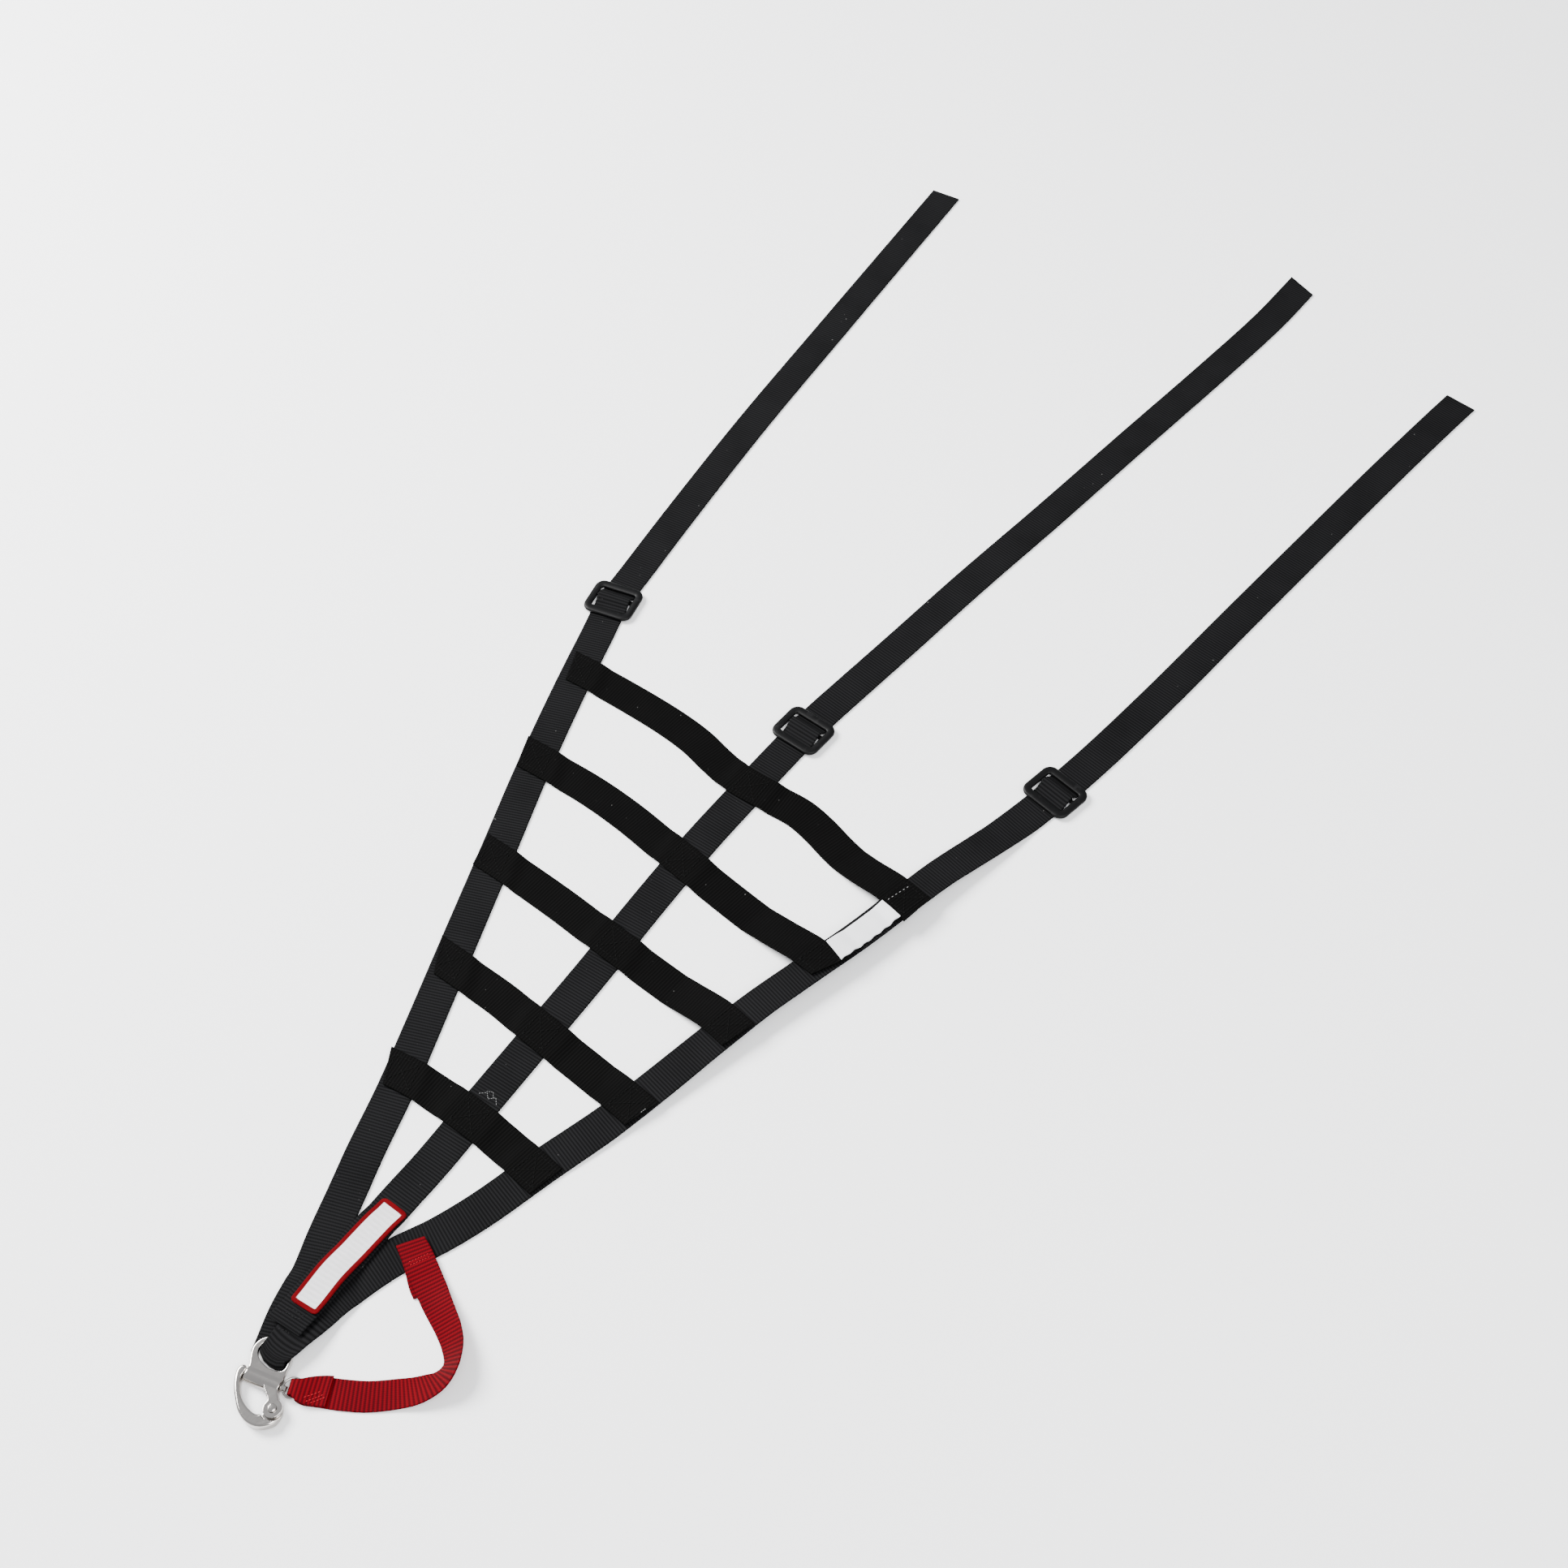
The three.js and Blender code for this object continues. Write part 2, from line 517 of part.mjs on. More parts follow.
// Half turn between two layers, starting at the last section of one, bulging away along its travel
function halfTurn(from, to, steps = 5) {
  const travel = new THREE.Vector3(-from.direction.y, from.direction.x, 0).normalize();
  if (travel.dot(from.travel) < 0) travel.negate();
  const centre = from.place.clone().add(to.place).multiplyScalar(0.5);
  const radius = (from.place.z - to.place.z) / 2;
  const list = [];
  for (let k = 1; k < steps; k++) {
    const angle = (Math.PI * k) / steps;
    const place = centre.clone().addScaledVector(travel, Math.abs(radius) * Math.sin(angle));
    place.z += radius * Math.cos(angle);
    list.push({ place, direction: from.direction, wide: from.wide });
  }
  return list;
}

function withTravel(list) {
  const end = list.length - 1;
  list[end].travel = list[end].place.clone().sub(list[end - 1].place);
  return list;
}

const tetherLoop = withTravel(sections(TETHER_LOOP, TETHER_THICK));
const tetherRun = withTravel(sections(TETHER_RUN, TETHER_THICK));
const tetherHem = sections(TETHER_HEM, TETHER_THICK);
const tether = [
  ...tetherLoop, ...halfTurn(tetherLoop.at(-1), tetherRun[0]),
  ...tetherRun, ...halfTurn(tetherRun.at(-1), tetherHem[0]), ...tetherHem,
];
const tetherRings = tether.map(({ place, direction, wide }, i) => {
  const before = tether[Math.max(i - 1, 0)].place;
  const after = tether[Math.min(i + 1, tether.length - 1)].place;
  const out = after.clone().sub(before).cross(direction).normalize().multiplyScalar(TETHER_THICK / 2);
  const row = [0, 0.5, 1].map((t) => place.clone().addScaledVector(direction, wide * t));
  return { back: row.map((p) => p.clone().sub(out)), face: row.map((p) => p.clone().add(out)) };
});
add("tether", stripGeometry(tetherRings, TETHER_THICK), "red");

// Shackle body: bail, barrel and leg in one casting
const barrel = new THREE.CylinderGeometry(BAR.radius, BAR.radius, BAR.to - BAR.from, 28)
  .rotateZ(Math.PI / 2).scale(1, BAR.half / BAR.radius, 1).translate((BAR.from + BAR.to) / 2, 0, BAR.radius);
const bailPlate = splineShape(BAIL_OUTLINE);
bailPlate.holes.push(splineShape(BAIL_HOLE));
const legShape = splineShape([[0, -1], [4, -6], [8, -9.6], [9.6, -13], [13.7, -17], [18, -13.5], [16, -9.6],
  [13.4, -6.3], [11.4, -3.8], [10.2, -1.5]]);
const [px, py] = [PIVOT.x, PIVOT.y];
const legMiddle = (ARM.bottom + ARM.top) / 2;
let body = solid(barrel)
  .add(solid(plate(bailPlate, BAIL.bottom, bailTop, 0.5)))
  .add(solid(plate(legShape, 0.6, 7, 0.5)))
  .add(solid(pin(PIVOT.legBoss, legMiddle + 0.2, 7, px, py)));
body = body.subtract(solid(pin(PIVOT.clear, -1, legMiddle + 0.2, px, py, 32)));
body = body.subtract(solid(pin(PIVOT.bore, -1, 9, px, py)));

// Arm: a curved gate that swings about the rivet
const ARM_OUTLINE = [[18.2, -10], [19.9, -14.6], [19, -20.5], [16.3, -23.4], [12.3, -25.8], [7.4, -26.7],
  [1.5, -25.6], [-5, -21.7], [-9.6, -16.7], [-14.1, -10.7], [-17.2, -4.1], [-17.9, 0], [-16.8, 2.6],
  [-14.9, 3.6], [-13.4, 2.6],
  [-13, -1], [-12.9, -5.2], [-10.8, -9.3], [-7.6, -13.3], [-3, -16.7], [1.7, -18.8], [6, -19.7], [8.6, -18.6],
  [8.8, -14.5], [11, -9.6], [15, -8]];
let arm = solid(plate(splineShape(ARM_OUTLINE), ARM.bottom, ARM.top, 1.2));
arm = arm.subtract(solid(pin(PIVOT.clear, legMiddle - 0.1, 9, px, py, 32)));
arm = arm.subtract(solid(pin(PIVOT.bore, -1, 9, px, py)));
arm = arm.subtract(solid(new THREE.BoxGeometry(14, 12, 8).translate(12, -3, 4)));

// Rivet through both, a button on top
const rivet = new THREE.LatheGeometry([[0, ARM.bottom], [PIVOT.pin, ARM.bottom], [PIVOT.pin, ARM.top + GAP],
  [PIVOT.button, ARM.top + GAP], [PIVOT.button, ARM.top + 1], [PIVOT.button - 0.7, ARM.top + 1.5],
  [0, ARM.top + 1.6]]
  .map(([r, z]) => new THREE.Vector2(r, z)), 24).rotateX(Math.PI / 2).translate(px, py, 0);

// Plunger with an eye, and the wire ring through it
const plungerFrom = BAR.to + GAP;
const plunger = solid(new THREE.CylinderGeometry(1.9, 1.9, 3.4, 20).rotateZ(Math.PI / 2)
  .translate(plungerFrom + 1.7, 0, BAR.radius));
const tilt = Math.asin((BAR.radius - RING.low) / (2 * RING.radius));
const toPlunger = Math.atan2(-RING.y, plungerFrom + 1.7 - RING.x);
const ring = new THREE.TorusGeometry(RING.radius, RING.wire, 10, 40).rotateY(-tilt).rotateZ(toPlunger)
  .translate(RING.x, RING.y, (BAR.radius + RING.low) / 2);
const eye = new THREE.TorusGeometry(RING.radius, RING.wire + GAP, 8, 40).rotateY(-tilt).rotateZ(toPlunger)
  .translate(RING.x, RING.y, (BAR.radius + RING.low) / 2);

add("shackle_body", geometryOf(body).applyMatrix4(toPart), "steel");
add("shackle_arm", geometryOf(arm).applyMatrix4(toPart), "steel");
add("shackle_rivet", rivet.applyMatrix4(toPart), "steel");
add("shackle_plunger", geometryOf(plunger.subtract(solid(eye))).applyMatrix4(toPart), "steel");
add("shackle_ring", ring.applyMatrix4(toPart), "steel");

// Origin under the middle of the whole net
const box = new THREE.Box3().setFromObject(group);
const middleOfBox = box.getCenter(new THREE.Vector3());
group.children.forEach((mesh) => mesh.geometry.translate(-middleOfBox.x, -middleOfBox.y, -box.min.z));

export default group;
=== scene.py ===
# Racing net laid out on a pale floor: webbing straps, cross straps, sliders, a snap shackle and a red tether
import math

import bmesh
import bpy
import numpy as np
from mathutils import Matrix, Vector
from mathutils.bvhtree import BVHTree


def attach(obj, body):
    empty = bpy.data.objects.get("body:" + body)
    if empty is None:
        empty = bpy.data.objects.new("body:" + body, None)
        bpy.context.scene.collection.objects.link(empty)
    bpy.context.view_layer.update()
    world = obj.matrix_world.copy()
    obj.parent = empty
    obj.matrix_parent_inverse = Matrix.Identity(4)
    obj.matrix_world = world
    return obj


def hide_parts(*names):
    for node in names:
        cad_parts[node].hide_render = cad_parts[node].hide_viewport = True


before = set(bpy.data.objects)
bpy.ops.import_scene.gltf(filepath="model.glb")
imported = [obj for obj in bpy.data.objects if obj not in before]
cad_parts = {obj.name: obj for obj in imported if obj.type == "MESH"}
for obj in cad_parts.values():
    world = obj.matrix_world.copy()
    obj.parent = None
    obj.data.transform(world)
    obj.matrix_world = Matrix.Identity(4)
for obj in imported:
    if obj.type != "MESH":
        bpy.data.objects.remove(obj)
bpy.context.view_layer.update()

# Camera: place and axes in metres, in the part's frame
CAMERA = {
    "lens": 50.46,
    "place": (0.6246, -0.7430, 1.2199),
    "right": (0.79262, 0.60829, -0.0414),
    "up": (-0.46943, 0.65218, 0.5952),
    "back": (0.38909, -0.45235, 0.8025),
}


def camera():
    data = bpy.data.cameras.new("camera")
    data.lens, data.sensor_width, data.clip_start, data.clip_end = CAMERA["lens"], 36, 0.01, 50
    eye = bpy.data.objects.new("camera", data)
    columns = Matrix((CAMERA["right"], CAMERA["up"], CAMERA["back"])).transposed().to_4x4()
    eye.matrix_world = Matrix.Translation(CAMERA["place"]) @ columns
    bpy.context.scene.collection.objects.link(eye)
    bpy.context.scene.camera = eye


camera()

# Routes are in millimetres from the shackle's tip, and SHIFT takes them to the part's frame
MM = 0.001
SHIFT = np.array([69.253, -596.976])
WEB = {"width": 25.4, "thick": 1.4, "rib": 2.1, "relief": 0.17}
RED = {"width": 19, "thick": 1.2, "rib": 2.5, "relief": 0.13}
TRIM_THICK = 1.0

# A strip's rows are ROW apart along it, and its columns are at these shares of its width
ROW = 0.525
ACROSS = np.array([-0.5, -0.45, -0.36, -0.24, -0.12, 0, 0.12, 0.24, 0.36, 0.45, 0.5])
MIDDLE = len(ACROSS) // 2
BACK_RELIEF = 0.4

# Centre lines of the straps: x, y and the tilt across in degrees
LEFT_ROUTE = [
    (-27.5, 40), (-36, 60.5), (-43.5, 86), (-53.5, 110), (-64, 138), (-74, 164), (-88.5, 206), (-105.5, 249),
    (-131, 312), (-160, 384), (-186, 448), (-212, 518), (-228.5, 566), (-239.7, 600), (-246.5, 640),
    (-256, 700), (-271, 806), (-285, 930), (-296, 1030), (-306, 1122)]
MIDDLE_ROUTE = [
    (-29.5, 51), (-30.5, 65), (-32.5, 100), (-34.5, 150), (-35, 183), (-37.5, 225), (-40.5, 280), (-44, 345),
    (-49, 411), (-52, 470), (-52.5, 525), (-52.5, 560), (-52, 585), (-51, 606), (-48, 640), (-43, 695),
    (-37, 765), (-27, 860), (-17.5, 960), (-7, 1066), (-1, 1140), (0, 1192)]
RIGHT_ROUTE = [
    (-20.5, 35), (-21.5, 62), (-20, 86), (-11, 122), (1.5, 150), (11, 178), (22, 222), (34, 265, 3),
    (43, 303, 9), (53, 350, 17), (62, 390, 22), (72.8, 430, 24), (82.8, 468, 24), (90.2, 505, 22),
    (97, 540, 17), (107, 580, 8), (114.5, 612, 0), (120.3, 642.7), (126.5, 685), (134, 758), (141, 848),
    (148.5, 940), (156.5, 1035), (164, 1112), (167.5, 1143)]
CROSS = {
    "cross_strap_1": {"skew": (9, 2), "route": [
        (-225, 535), (-205, 536.5), (-170, 537.5), (-133, 537), (-108, 534.5), (-86, 529.5), (-62, 525.5),
        (-35, 526.5), (-12, 527.5), (6, 524.5), (28, 518.5), (52, 513.5), (78, 510), (103, 504.5)]},
    "cross_strap_2": {"skew": (9, -9), "route": [
        (-202, 456), (-176, 457.5), (-140, 458.5), (-105, 456.5), (-66, 451.5), (-30, 447), (6, 443),
        (40, 440), (62, 438.5), (83, 436)]},
    "cross_strap_3": {"skew": (8, -3), "route": [
        (-169, 376), (-140, 376), (-94, 374.5), (-58, 372), (-20, 369.5), (20, 367.5), (44, 366), (66, 362)]},
    "cross_strap_4": {"skew": (16, -4), "route": [
        (-135, 296.5), (-108, 296.5), (-77, 296), (-50, 293.5), (-25, 291.5), (4, 289.5),
        (27, 287.5), (50, 284.5)]},
    "cross_strap_5": {"skew": (11, -2), "route": [
        (-104.5, 216), (-80, 219.5), (-50, 220.5), (-20, 220), (5, 218), (31, 215)]},
}
SLIDERS = {
    "slider_left": (-239.7, 600, 13.5), "slider_middle": (-52, 585, -2), "slider_right": (120.3, 642.7, -9.5)}
SLIDER = {
    "across": 38.6, "along": 31, "corner": 7, "window": (27.8, 18.6), "window_corner": 1.5,
    "bottom": 1.7, "thick": 2.6, "bar_at": 2.4, "bar_half": 15, "bar_lift": 0.2}
BAR_SECTION = [
    (1.6, 0.5), (1.45, 1.25), (0.9, 1.6), (0, 1.7), (-0.9, 1.6), (-1.45, 1.25), (-1.6, 0.5),
    (-1, 0.02), (1, 0.02)]
PATCH = {
    "width": 20.5, "round": 3, "border": 2.9, "sink": 0.25,
    "route": [(-29, 66), (-32.4, 104), (-32.4, 148.5)]}
LABEL = {
    "width": 18, "skew": (-2, 0), "ripple": 0.35, "ripple_pitch": 8.5, "wave": 0.2, "wave_pitch": 13,
    "route": [(78.3, 446.5), (83.5, 469), (89, 495)]}

# The right strap's fold through the bail, in the shackle's frame, and its tail
SHACKLE = {"x": -16.6, "y": 21.7, "turn": 14.6}
FOLD = {
    "across": [(-11.5, 13.4), (-7, 9.8), (-2.2, 8.1), (2.6, 7.8), (7, 9.5)],
    "radius": 2.65, "stretch": 1.25, "steps": 26, "blend": 34}
TAIL = {"length": 44, "heading": 109, "spread": 24, "start": 6}

# Tether rows: x and y of the right edge, height of the left edge, direction to it, rise of the right, width
TETHER_LOOP = [
    (22, 31.5, 1.5, 118, 0, 19), (16.5, 28, 1.8, 118, 0, 18.5), (11, 25, 3, 118, 0, 16.5),
    (6, 23.8, 4, 118, 0, 13), (1.6, 24.4, 4, 118, 0, 9.5)]
TETHER_RUN = [
    (1.6, 24.4, 0, 118, 0, 9.5), (6, 23.8, 0, 118, 0, 13), (11, 25, 0, 118, 0, 16.5),
    (16.5, 28, 0, 119, 0, 18.5), (30.5, 35.5, 0, 124, 0, 19), (43.5, 44, 0, 128, 0, 19),
    (56.3, 55.3, 0, 134, 3, 19), (65.9, 65.2, 0, 145, 12, 19), (71.9, 75.5, 0, 159, 25, 19),
    (73.8, 84.5, 0, 174, 39, 19), (71.2, 95.8, 0, 198, 49, 19), (63.6, 106.8, 0, 221, 41, 19),
    (54.2, 114.5, 0.1, 233, 32, 19), (46, 119.2, 0.3, 237, 26, 19), (38, 123.5, 0.6, 241, 19, 19),
    (29, 128.5, 1.5, 243, 8, 19), (20, 133, 2.2, 243, 3, 19), (12.5, 136.8, 3.2, 243, 0, 19),
    (4, 140.8, 3.2, 240, 0, 18.5), (-3, 143.3, 3.2, 237, 0, 18)]
TETHER_HEM = [
    (-3, 143.3, 1.7, 237, 0, 18), (4, 140.3, 1.7, 240, 0, 18.5), (10.8, 136.8, 1.7, 243, 0, 19),
    (19, 131, 0.5, 243, 0, 19), (26, 127.5, 0, 243, 0, 19)]


def ease(x, low, high):
    t = np.clip((x - low) / (high - low), 0, 1)
    return t * t * (3 - 2 * t)


# A smooth plan curve through its knots, read by distance along it
class Route:
    PER = 40

    def __init__(self, knots):
        p = np.array([knot[:2] for knot in knots], float)
        p = np.vstack([2 * p[0] - p[1], p, 2 * p[-1] - p[-2]])
        t = np.linspace(0, 1, self.PER, endpoint=False)[:, None]
        spans = []
        for k in range(1, len(p) - 2):
            a, b, c, d = p[k - 1:k + 3]
            u, v, w = (np.linalg.norm(q - r) ** 0.5 for q, r in ((b, a), (c, b), (d, c)))
            m = ((b - a) / u - (c - a) / (u + v) + (c - b) / v) * v
            n = ((c - b) / v - (d - b) / (v + w) + (d - c) / w) * v
            spans.append(b + m * t + (3 * c - 3 * b - 2 * m - n) * t ** 2 + (2 * b - 2 * c + m + n) * t ** 3)
        self.points = np.vstack([*spans, p[-2:-1]])
        self.arc = np.concatenate([[0], np.cumsum(np.linalg.norm(np.diff(self.points, axis=0), axis=1))])
        self.length = self.arc[-1]
        self.marks = self.arc[::self.PER]
        self.banks = [knot[2] if len(knot) > 2 else 0 for knot in knots]
        self.headings = np.gradient(self.points, self.arc, axis=0)

    def at(self, s):
        inside = np.clip(s, 0, self.length)
        read = lambda values: np.stack([np.interp(inside, self.arc, values[:, i]) for i in (0, 1)], -1)
        heading = read(self.headings)
        heading /= np.linalg.norm(heading, axis=-1, keepdims=True)
        place = read(self.points) + heading * (s - inside)[..., None]
        return place, heading, np.stack([heading[..., 1], -heading[..., 0]], -1)

    def bank(self, s):
        return np.radians(np.interp(s, self.marks, self.banks))


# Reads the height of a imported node's upper face, in millimetres
class Surface:
    ABOVE = 0.1

    def __init__(self, node):
        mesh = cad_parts[node].data
        self.tree = BVHTree.FromPolygons(
            [v.co[:] for v in mesh.vertices], [p.vertices[:] for p in mesh.polygons])

    def height(self, x, y):
        start = Vector(((x + SHIFT[0]) * MM, (y + SHIFT[1]) * MM, self.ABOVE))
        hit = self.tree.ray_cast(start, Vector((0, 0, -1)))[0]
        return hit.z / MM if hit else math.nan

    def heights(self, xy):
        z = np.array([self.height(x, y) for x, y in xy.reshape(-1, 2)]).reshape(xy.shape[:-1])
        for column in z.T:
            known = ~np.isnan(column)
            if known.any():
                column[:] = np.interp(np.arange(len(column)), np.flatnonzero(known), column[known])
        return z


# Plan places of a strip with square rows, cut off along a slanted line at each end
def plan(route, width, skew, across=ACROSS, inset=0, start=None, blend=1, round_ends=0):
    stops = np.arange(-abs(skew[0]) / 2, route.length + abs(skew[1]) / 2 + ROW, ROW)
    s = np.clip(stops[:, None], skew[0] * across + inset, route.length + skew[1] * across - inset)
    place, _, right = route.at(s)
    lateral = across * width * np.cos(route.bank(s))
    if round_ends:
        end = np.minimum(round_ends, np.clip(np.minimum(s, route.length - s), 0, None))
        lateral *= 1 - 2 * (round_ends - np.sqrt(round_ends ** 2 - (round_ends - end) ** 2)) / width
    xy = place + right * lateral[..., None]
    if start is not None:
        corners = np.linspace(-0.5, 0.5, len(start))
        first = np.stack([np.interp(across, corners, start[:, i]) for i in (0, 1)], -1)
        share = (1 - ease(s, 0, blend))[..., None]
        xy = xy * (1 - share) + first * share
    return s, xy


# Heights are read inside a strip's edges and smoothed along it with these weights
PROBE = {"share": 0.9, "inset": 0.5}
SMOOTHING = np.array([1, 2, 3, 3, 2, 1]) / 12


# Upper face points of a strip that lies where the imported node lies
def laid(node, route, width, skew=(0, 0), **options):
    s, xy = plan(route, width, skew, **options)
    inner = ACROSS * PROBE["share"]
    _, probe = plan(route, width, skew, across=inner, inset=PROBE["inset"], **options)
    z = Surface(node).heights(probe)
    padded = np.pad(z, ((len(SMOOTHING) // 2, (len(SMOOTHING) - 1) // 2), (0, 0)), mode="edge")
    z = np.stack([np.convolve(column, SMOOTHING, mode="valid") for column in padded.T], -1)
    rows = np.stack([np.interp(ACROSS, inner, row) for row in z])
    for side, near in ((0, 1), (-1, -2)):
        slope = (z[:, side] - z[:, near]) / (inner[side] - inner[near])
        rows[:, side] = z[:, side] + slope * (ACROSS[side] - inner[side])
    return s, np.concatenate([xy, rows[..., None]], -1)


def rib_relief(s, pitch, depth):
    return -depth * (0.5 - 0.5 * np.cos(2 * np.pi * s / pitch))


# Closed strip of cloth from its face and back points, with a rounded selvedge and a map in metres
def strip(name, face, back, s, width, relief, material, edge=None, body="net"):
    thick = np.linalg.norm(face - back, axis=-1, keepdims=True)
    out = (face - back) / thick
    face, back = face + out * relief[..., None], back - out * relief[..., None] * BACK_RELIEF
    middles = []
    for side, near in ((0, 1), (-1, -2)):
        middle = (face[:, side] + back[:, side]) / 2
        away = middle - (face[:, near] + back[:, near]) / 2
        away /= np.maximum(np.linalg.norm(away, axis=-1, keepdims=True), 1e-6)
        face[:, side] -= away * thick[:, side] / 4
        back[:, side] -= away * thick[:, side] / 4
        middles.append(middle)
    columns = face.shape[1]
    t = np.broadcast_to(ACROSS * width, s.shape)
    rings = np.concatenate([back, middles[1][:, None], face[:, ::-1], middles[0][:, None]], axis=1)
    order = [*range(columns), columns - 1, *range(columns - 1, -1, -1), 0]
    size = len(order)
    places = rings.reshape(-1, 3).copy()
    places[:, :2] += SHIFT
    mesh = bpy.data.meshes.new(name)
    count = len(rings)
    faces = [(i * size + k, i * size + (k + 1) % size, (i + 1) * size + (k + 1) % size, (i + 1) * size + k)
             for i in range(count - 1) for k in range(size)]
    for first in (0, (count - 1) * size):
        for k in range(columns - 1):
            faces.append((first + k, first + k + 1, first + size - 3 - k, first + size - 2 - k))
        faces.append((first + columns - 1, first + columns, first + columns + 1))
        faces.append((first, first + size - 2, first + size - 1))
    mesh.from_pydata((places * MM).tolist(), [], faces)
    values = {"along": s[:, order].reshape(-1) * MM, "across": t[:, order].reshape(-1) * MM}
    if edge is not None:
        values["edge"] = edge[:, order].reshape(-1)
    for key, value in values.items():
        mesh.attributes.new(key, "FLOAT", "POINT").data.foreach_set("value", value.astype(np.float32))
    return finish_piece(name, mesh, material, body)


def finish_piece(name, mesh, material, body="net", weld=2e-6):
    shape = bmesh.new()
    shape.from_mesh(mesh)
    bmesh.ops.remove_doubles(shape, verts=shape.verts, dist=weld)
    bmesh.ops.recalc_face_normals(shape, faces=shape.faces)
    shape.to_mesh(mesh)
    shape.free()
    mesh.shade_smooth()
    mesh.materials.append(material)
    piece = bpy.data.objects.new(name, mesh)
    bpy.context.scene.collection.objects.link(piece)
    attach(piece, body)
    return piece


# Node tree with math, mixing and noise in short calls
class Nodes:
    def __init__(self, tree):
        self.tree = tree

    def put(self, socket, value):
        if isinstance(value, bpy.types.NodeSocket):
            self.tree.links.new(value, socket)
        else:
            socket.default_value = value

    def put_colour(self, socket, value):
        self.put(socket, value if isinstance(value, bpy.types.NodeSocket) else (*value, 1))

    def math(self, operation, a, b=0.0, clamp=False):
        node = self.tree.nodes.new("ShaderNodeMath")
        node.operation, node.use_clamp = operation, clamp
        self.put(node.inputs[0], a)
        self.put(node.inputs[1], b)
        return node.outputs[0]

    def total(self, *parts):
        result, *others = [self.math("MULTIPLY", value, share) for value, share in parts]
        for other in others:
            result = self.math("ADD", result, other)
        return result

    def read(self, name):
        node = self.tree.nodes.new("ShaderNodeAttribute")
        node.attribute_name = name
        return node.outputs["Fac"]

    def place(self):
        return self.tree.nodes.new("ShaderNodeTexCoord").outputs["Object"]

    def stretch(self, vector, scale):
        node = self.tree.nodes.new("ShaderNodeMapping")
        self.put(node.inputs["Vector"], vector)
        node.inputs["Scale"].default_value = scale
        return node.outputs[0]

    def noise(self, vector, scale, detail):
        node = self.tree.nodes.new("ShaderNodeTexNoise")
        self.put(node.inputs["Vector"], vector)
        node.inputs["Scale"].default_value = scale
        node.inputs["Detail"].default_value = detail
        return node.outputs["Fac"]

    def wave(self, value, pitch=1.0):
        angle = self.math("MULTIPLY", self.math("DIVIDE", value, pitch), 2 * math.pi)
        return self.math("ADD", self.math("MULTIPLY", self.math("COSINE", angle), 0.5), 0.5)

    def step(self, value, low, high):
        node = self.tree.nodes.new("ShaderNodeMapRange")
        node.interpolation_type = "SMOOTHSTEP"
        self.put(node.inputs["Value"], value)
        node.inputs["From Min"].default_value = low
        node.inputs["From Max"].default_value = high
        return node.outputs[0]

    def mix(self, share, a, b):
        node = self.tree.nodes.new("ShaderNodeMix")
        node.data_type = "RGBA"
        self.put(node.inputs[0], share)
        self.put_colour(node.inputs[6], a)
        self.put_colour(node.inputs[7], b)
        return node.outputs[2]


# Node group with named inputs and outputs, built once for the materials that share it
class Group(Nodes):
    def __init__(self, name, inputs, outputs):
        super().__init__(bpy.data.node_groups.new(name, "ShaderNodeTree"))
        for way, sockets in (("INPUT", inputs), ("OUTPUT", outputs)):
            for socket, kind in sockets.items():
                self.tree.interface.new_socket(socket, in_out=way, socket_type=f"NodeSocket{kind}")
        self.given = self.tree.nodes.new("NodeGroupInput").outputs
        self.result = self.tree.nodes.new("NodeGroupOutput").inputs


# Material with one shader
class Finish(Nodes):
    def __init__(self, name, roughness, metallic=0.0, sheen=0.0, specular=0.5):
        self.material = bpy.data.materials.new(name)
        self.material.use_nodes = True
        super().__init__(self.material.node_tree)
        self.shader = self.tree.nodes["Principled BSDF"]
        for socket, value in (("Roughness", roughness), ("Metallic", metallic), ("Sheen Weight", sheen),
                              ("Specular IOR Level", specular)):
            self.shader.inputs[socket].default_value = value

    def group(self, tree, values):
        node = self.tree.nodes.new("ShaderNodeGroup")
        node.node_tree = tree
        for socket, value in values.items():
            self.put(node.inputs[socket], value)
        return node.outputs

    def surface(self, colour, roughness=None, height=None, depth=0.0001, strength=1.0):
        self.put_colour(self.shader.inputs["Base Color"], colour)
        if roughness is not None:
            self.put(self.shader.inputs["Roughness"], roughness)
        if height is not None:
            bump = self.tree.nodes.new("ShaderNodeBump")
            bump.inputs["Distance"].default_value = depth
            bump.inputs["Strength"].default_value = strength
            self.put(bump.inputs["Height"], height)
            self.put(self.shader.inputs["Normal"], bump.outputs[0])
        return self.material


# Pitches in metres of the yarns in the webbing, and of the threads in the patch and the label
YARN = 0.0011
EMBROIDERY = {"fill": 0.00042, "bands": 0.0032, "border": 0.00055}
SATIN = {"across": 0.0004, "along": 0.0007}
LINT = (0.35, 0.34, 0.33)


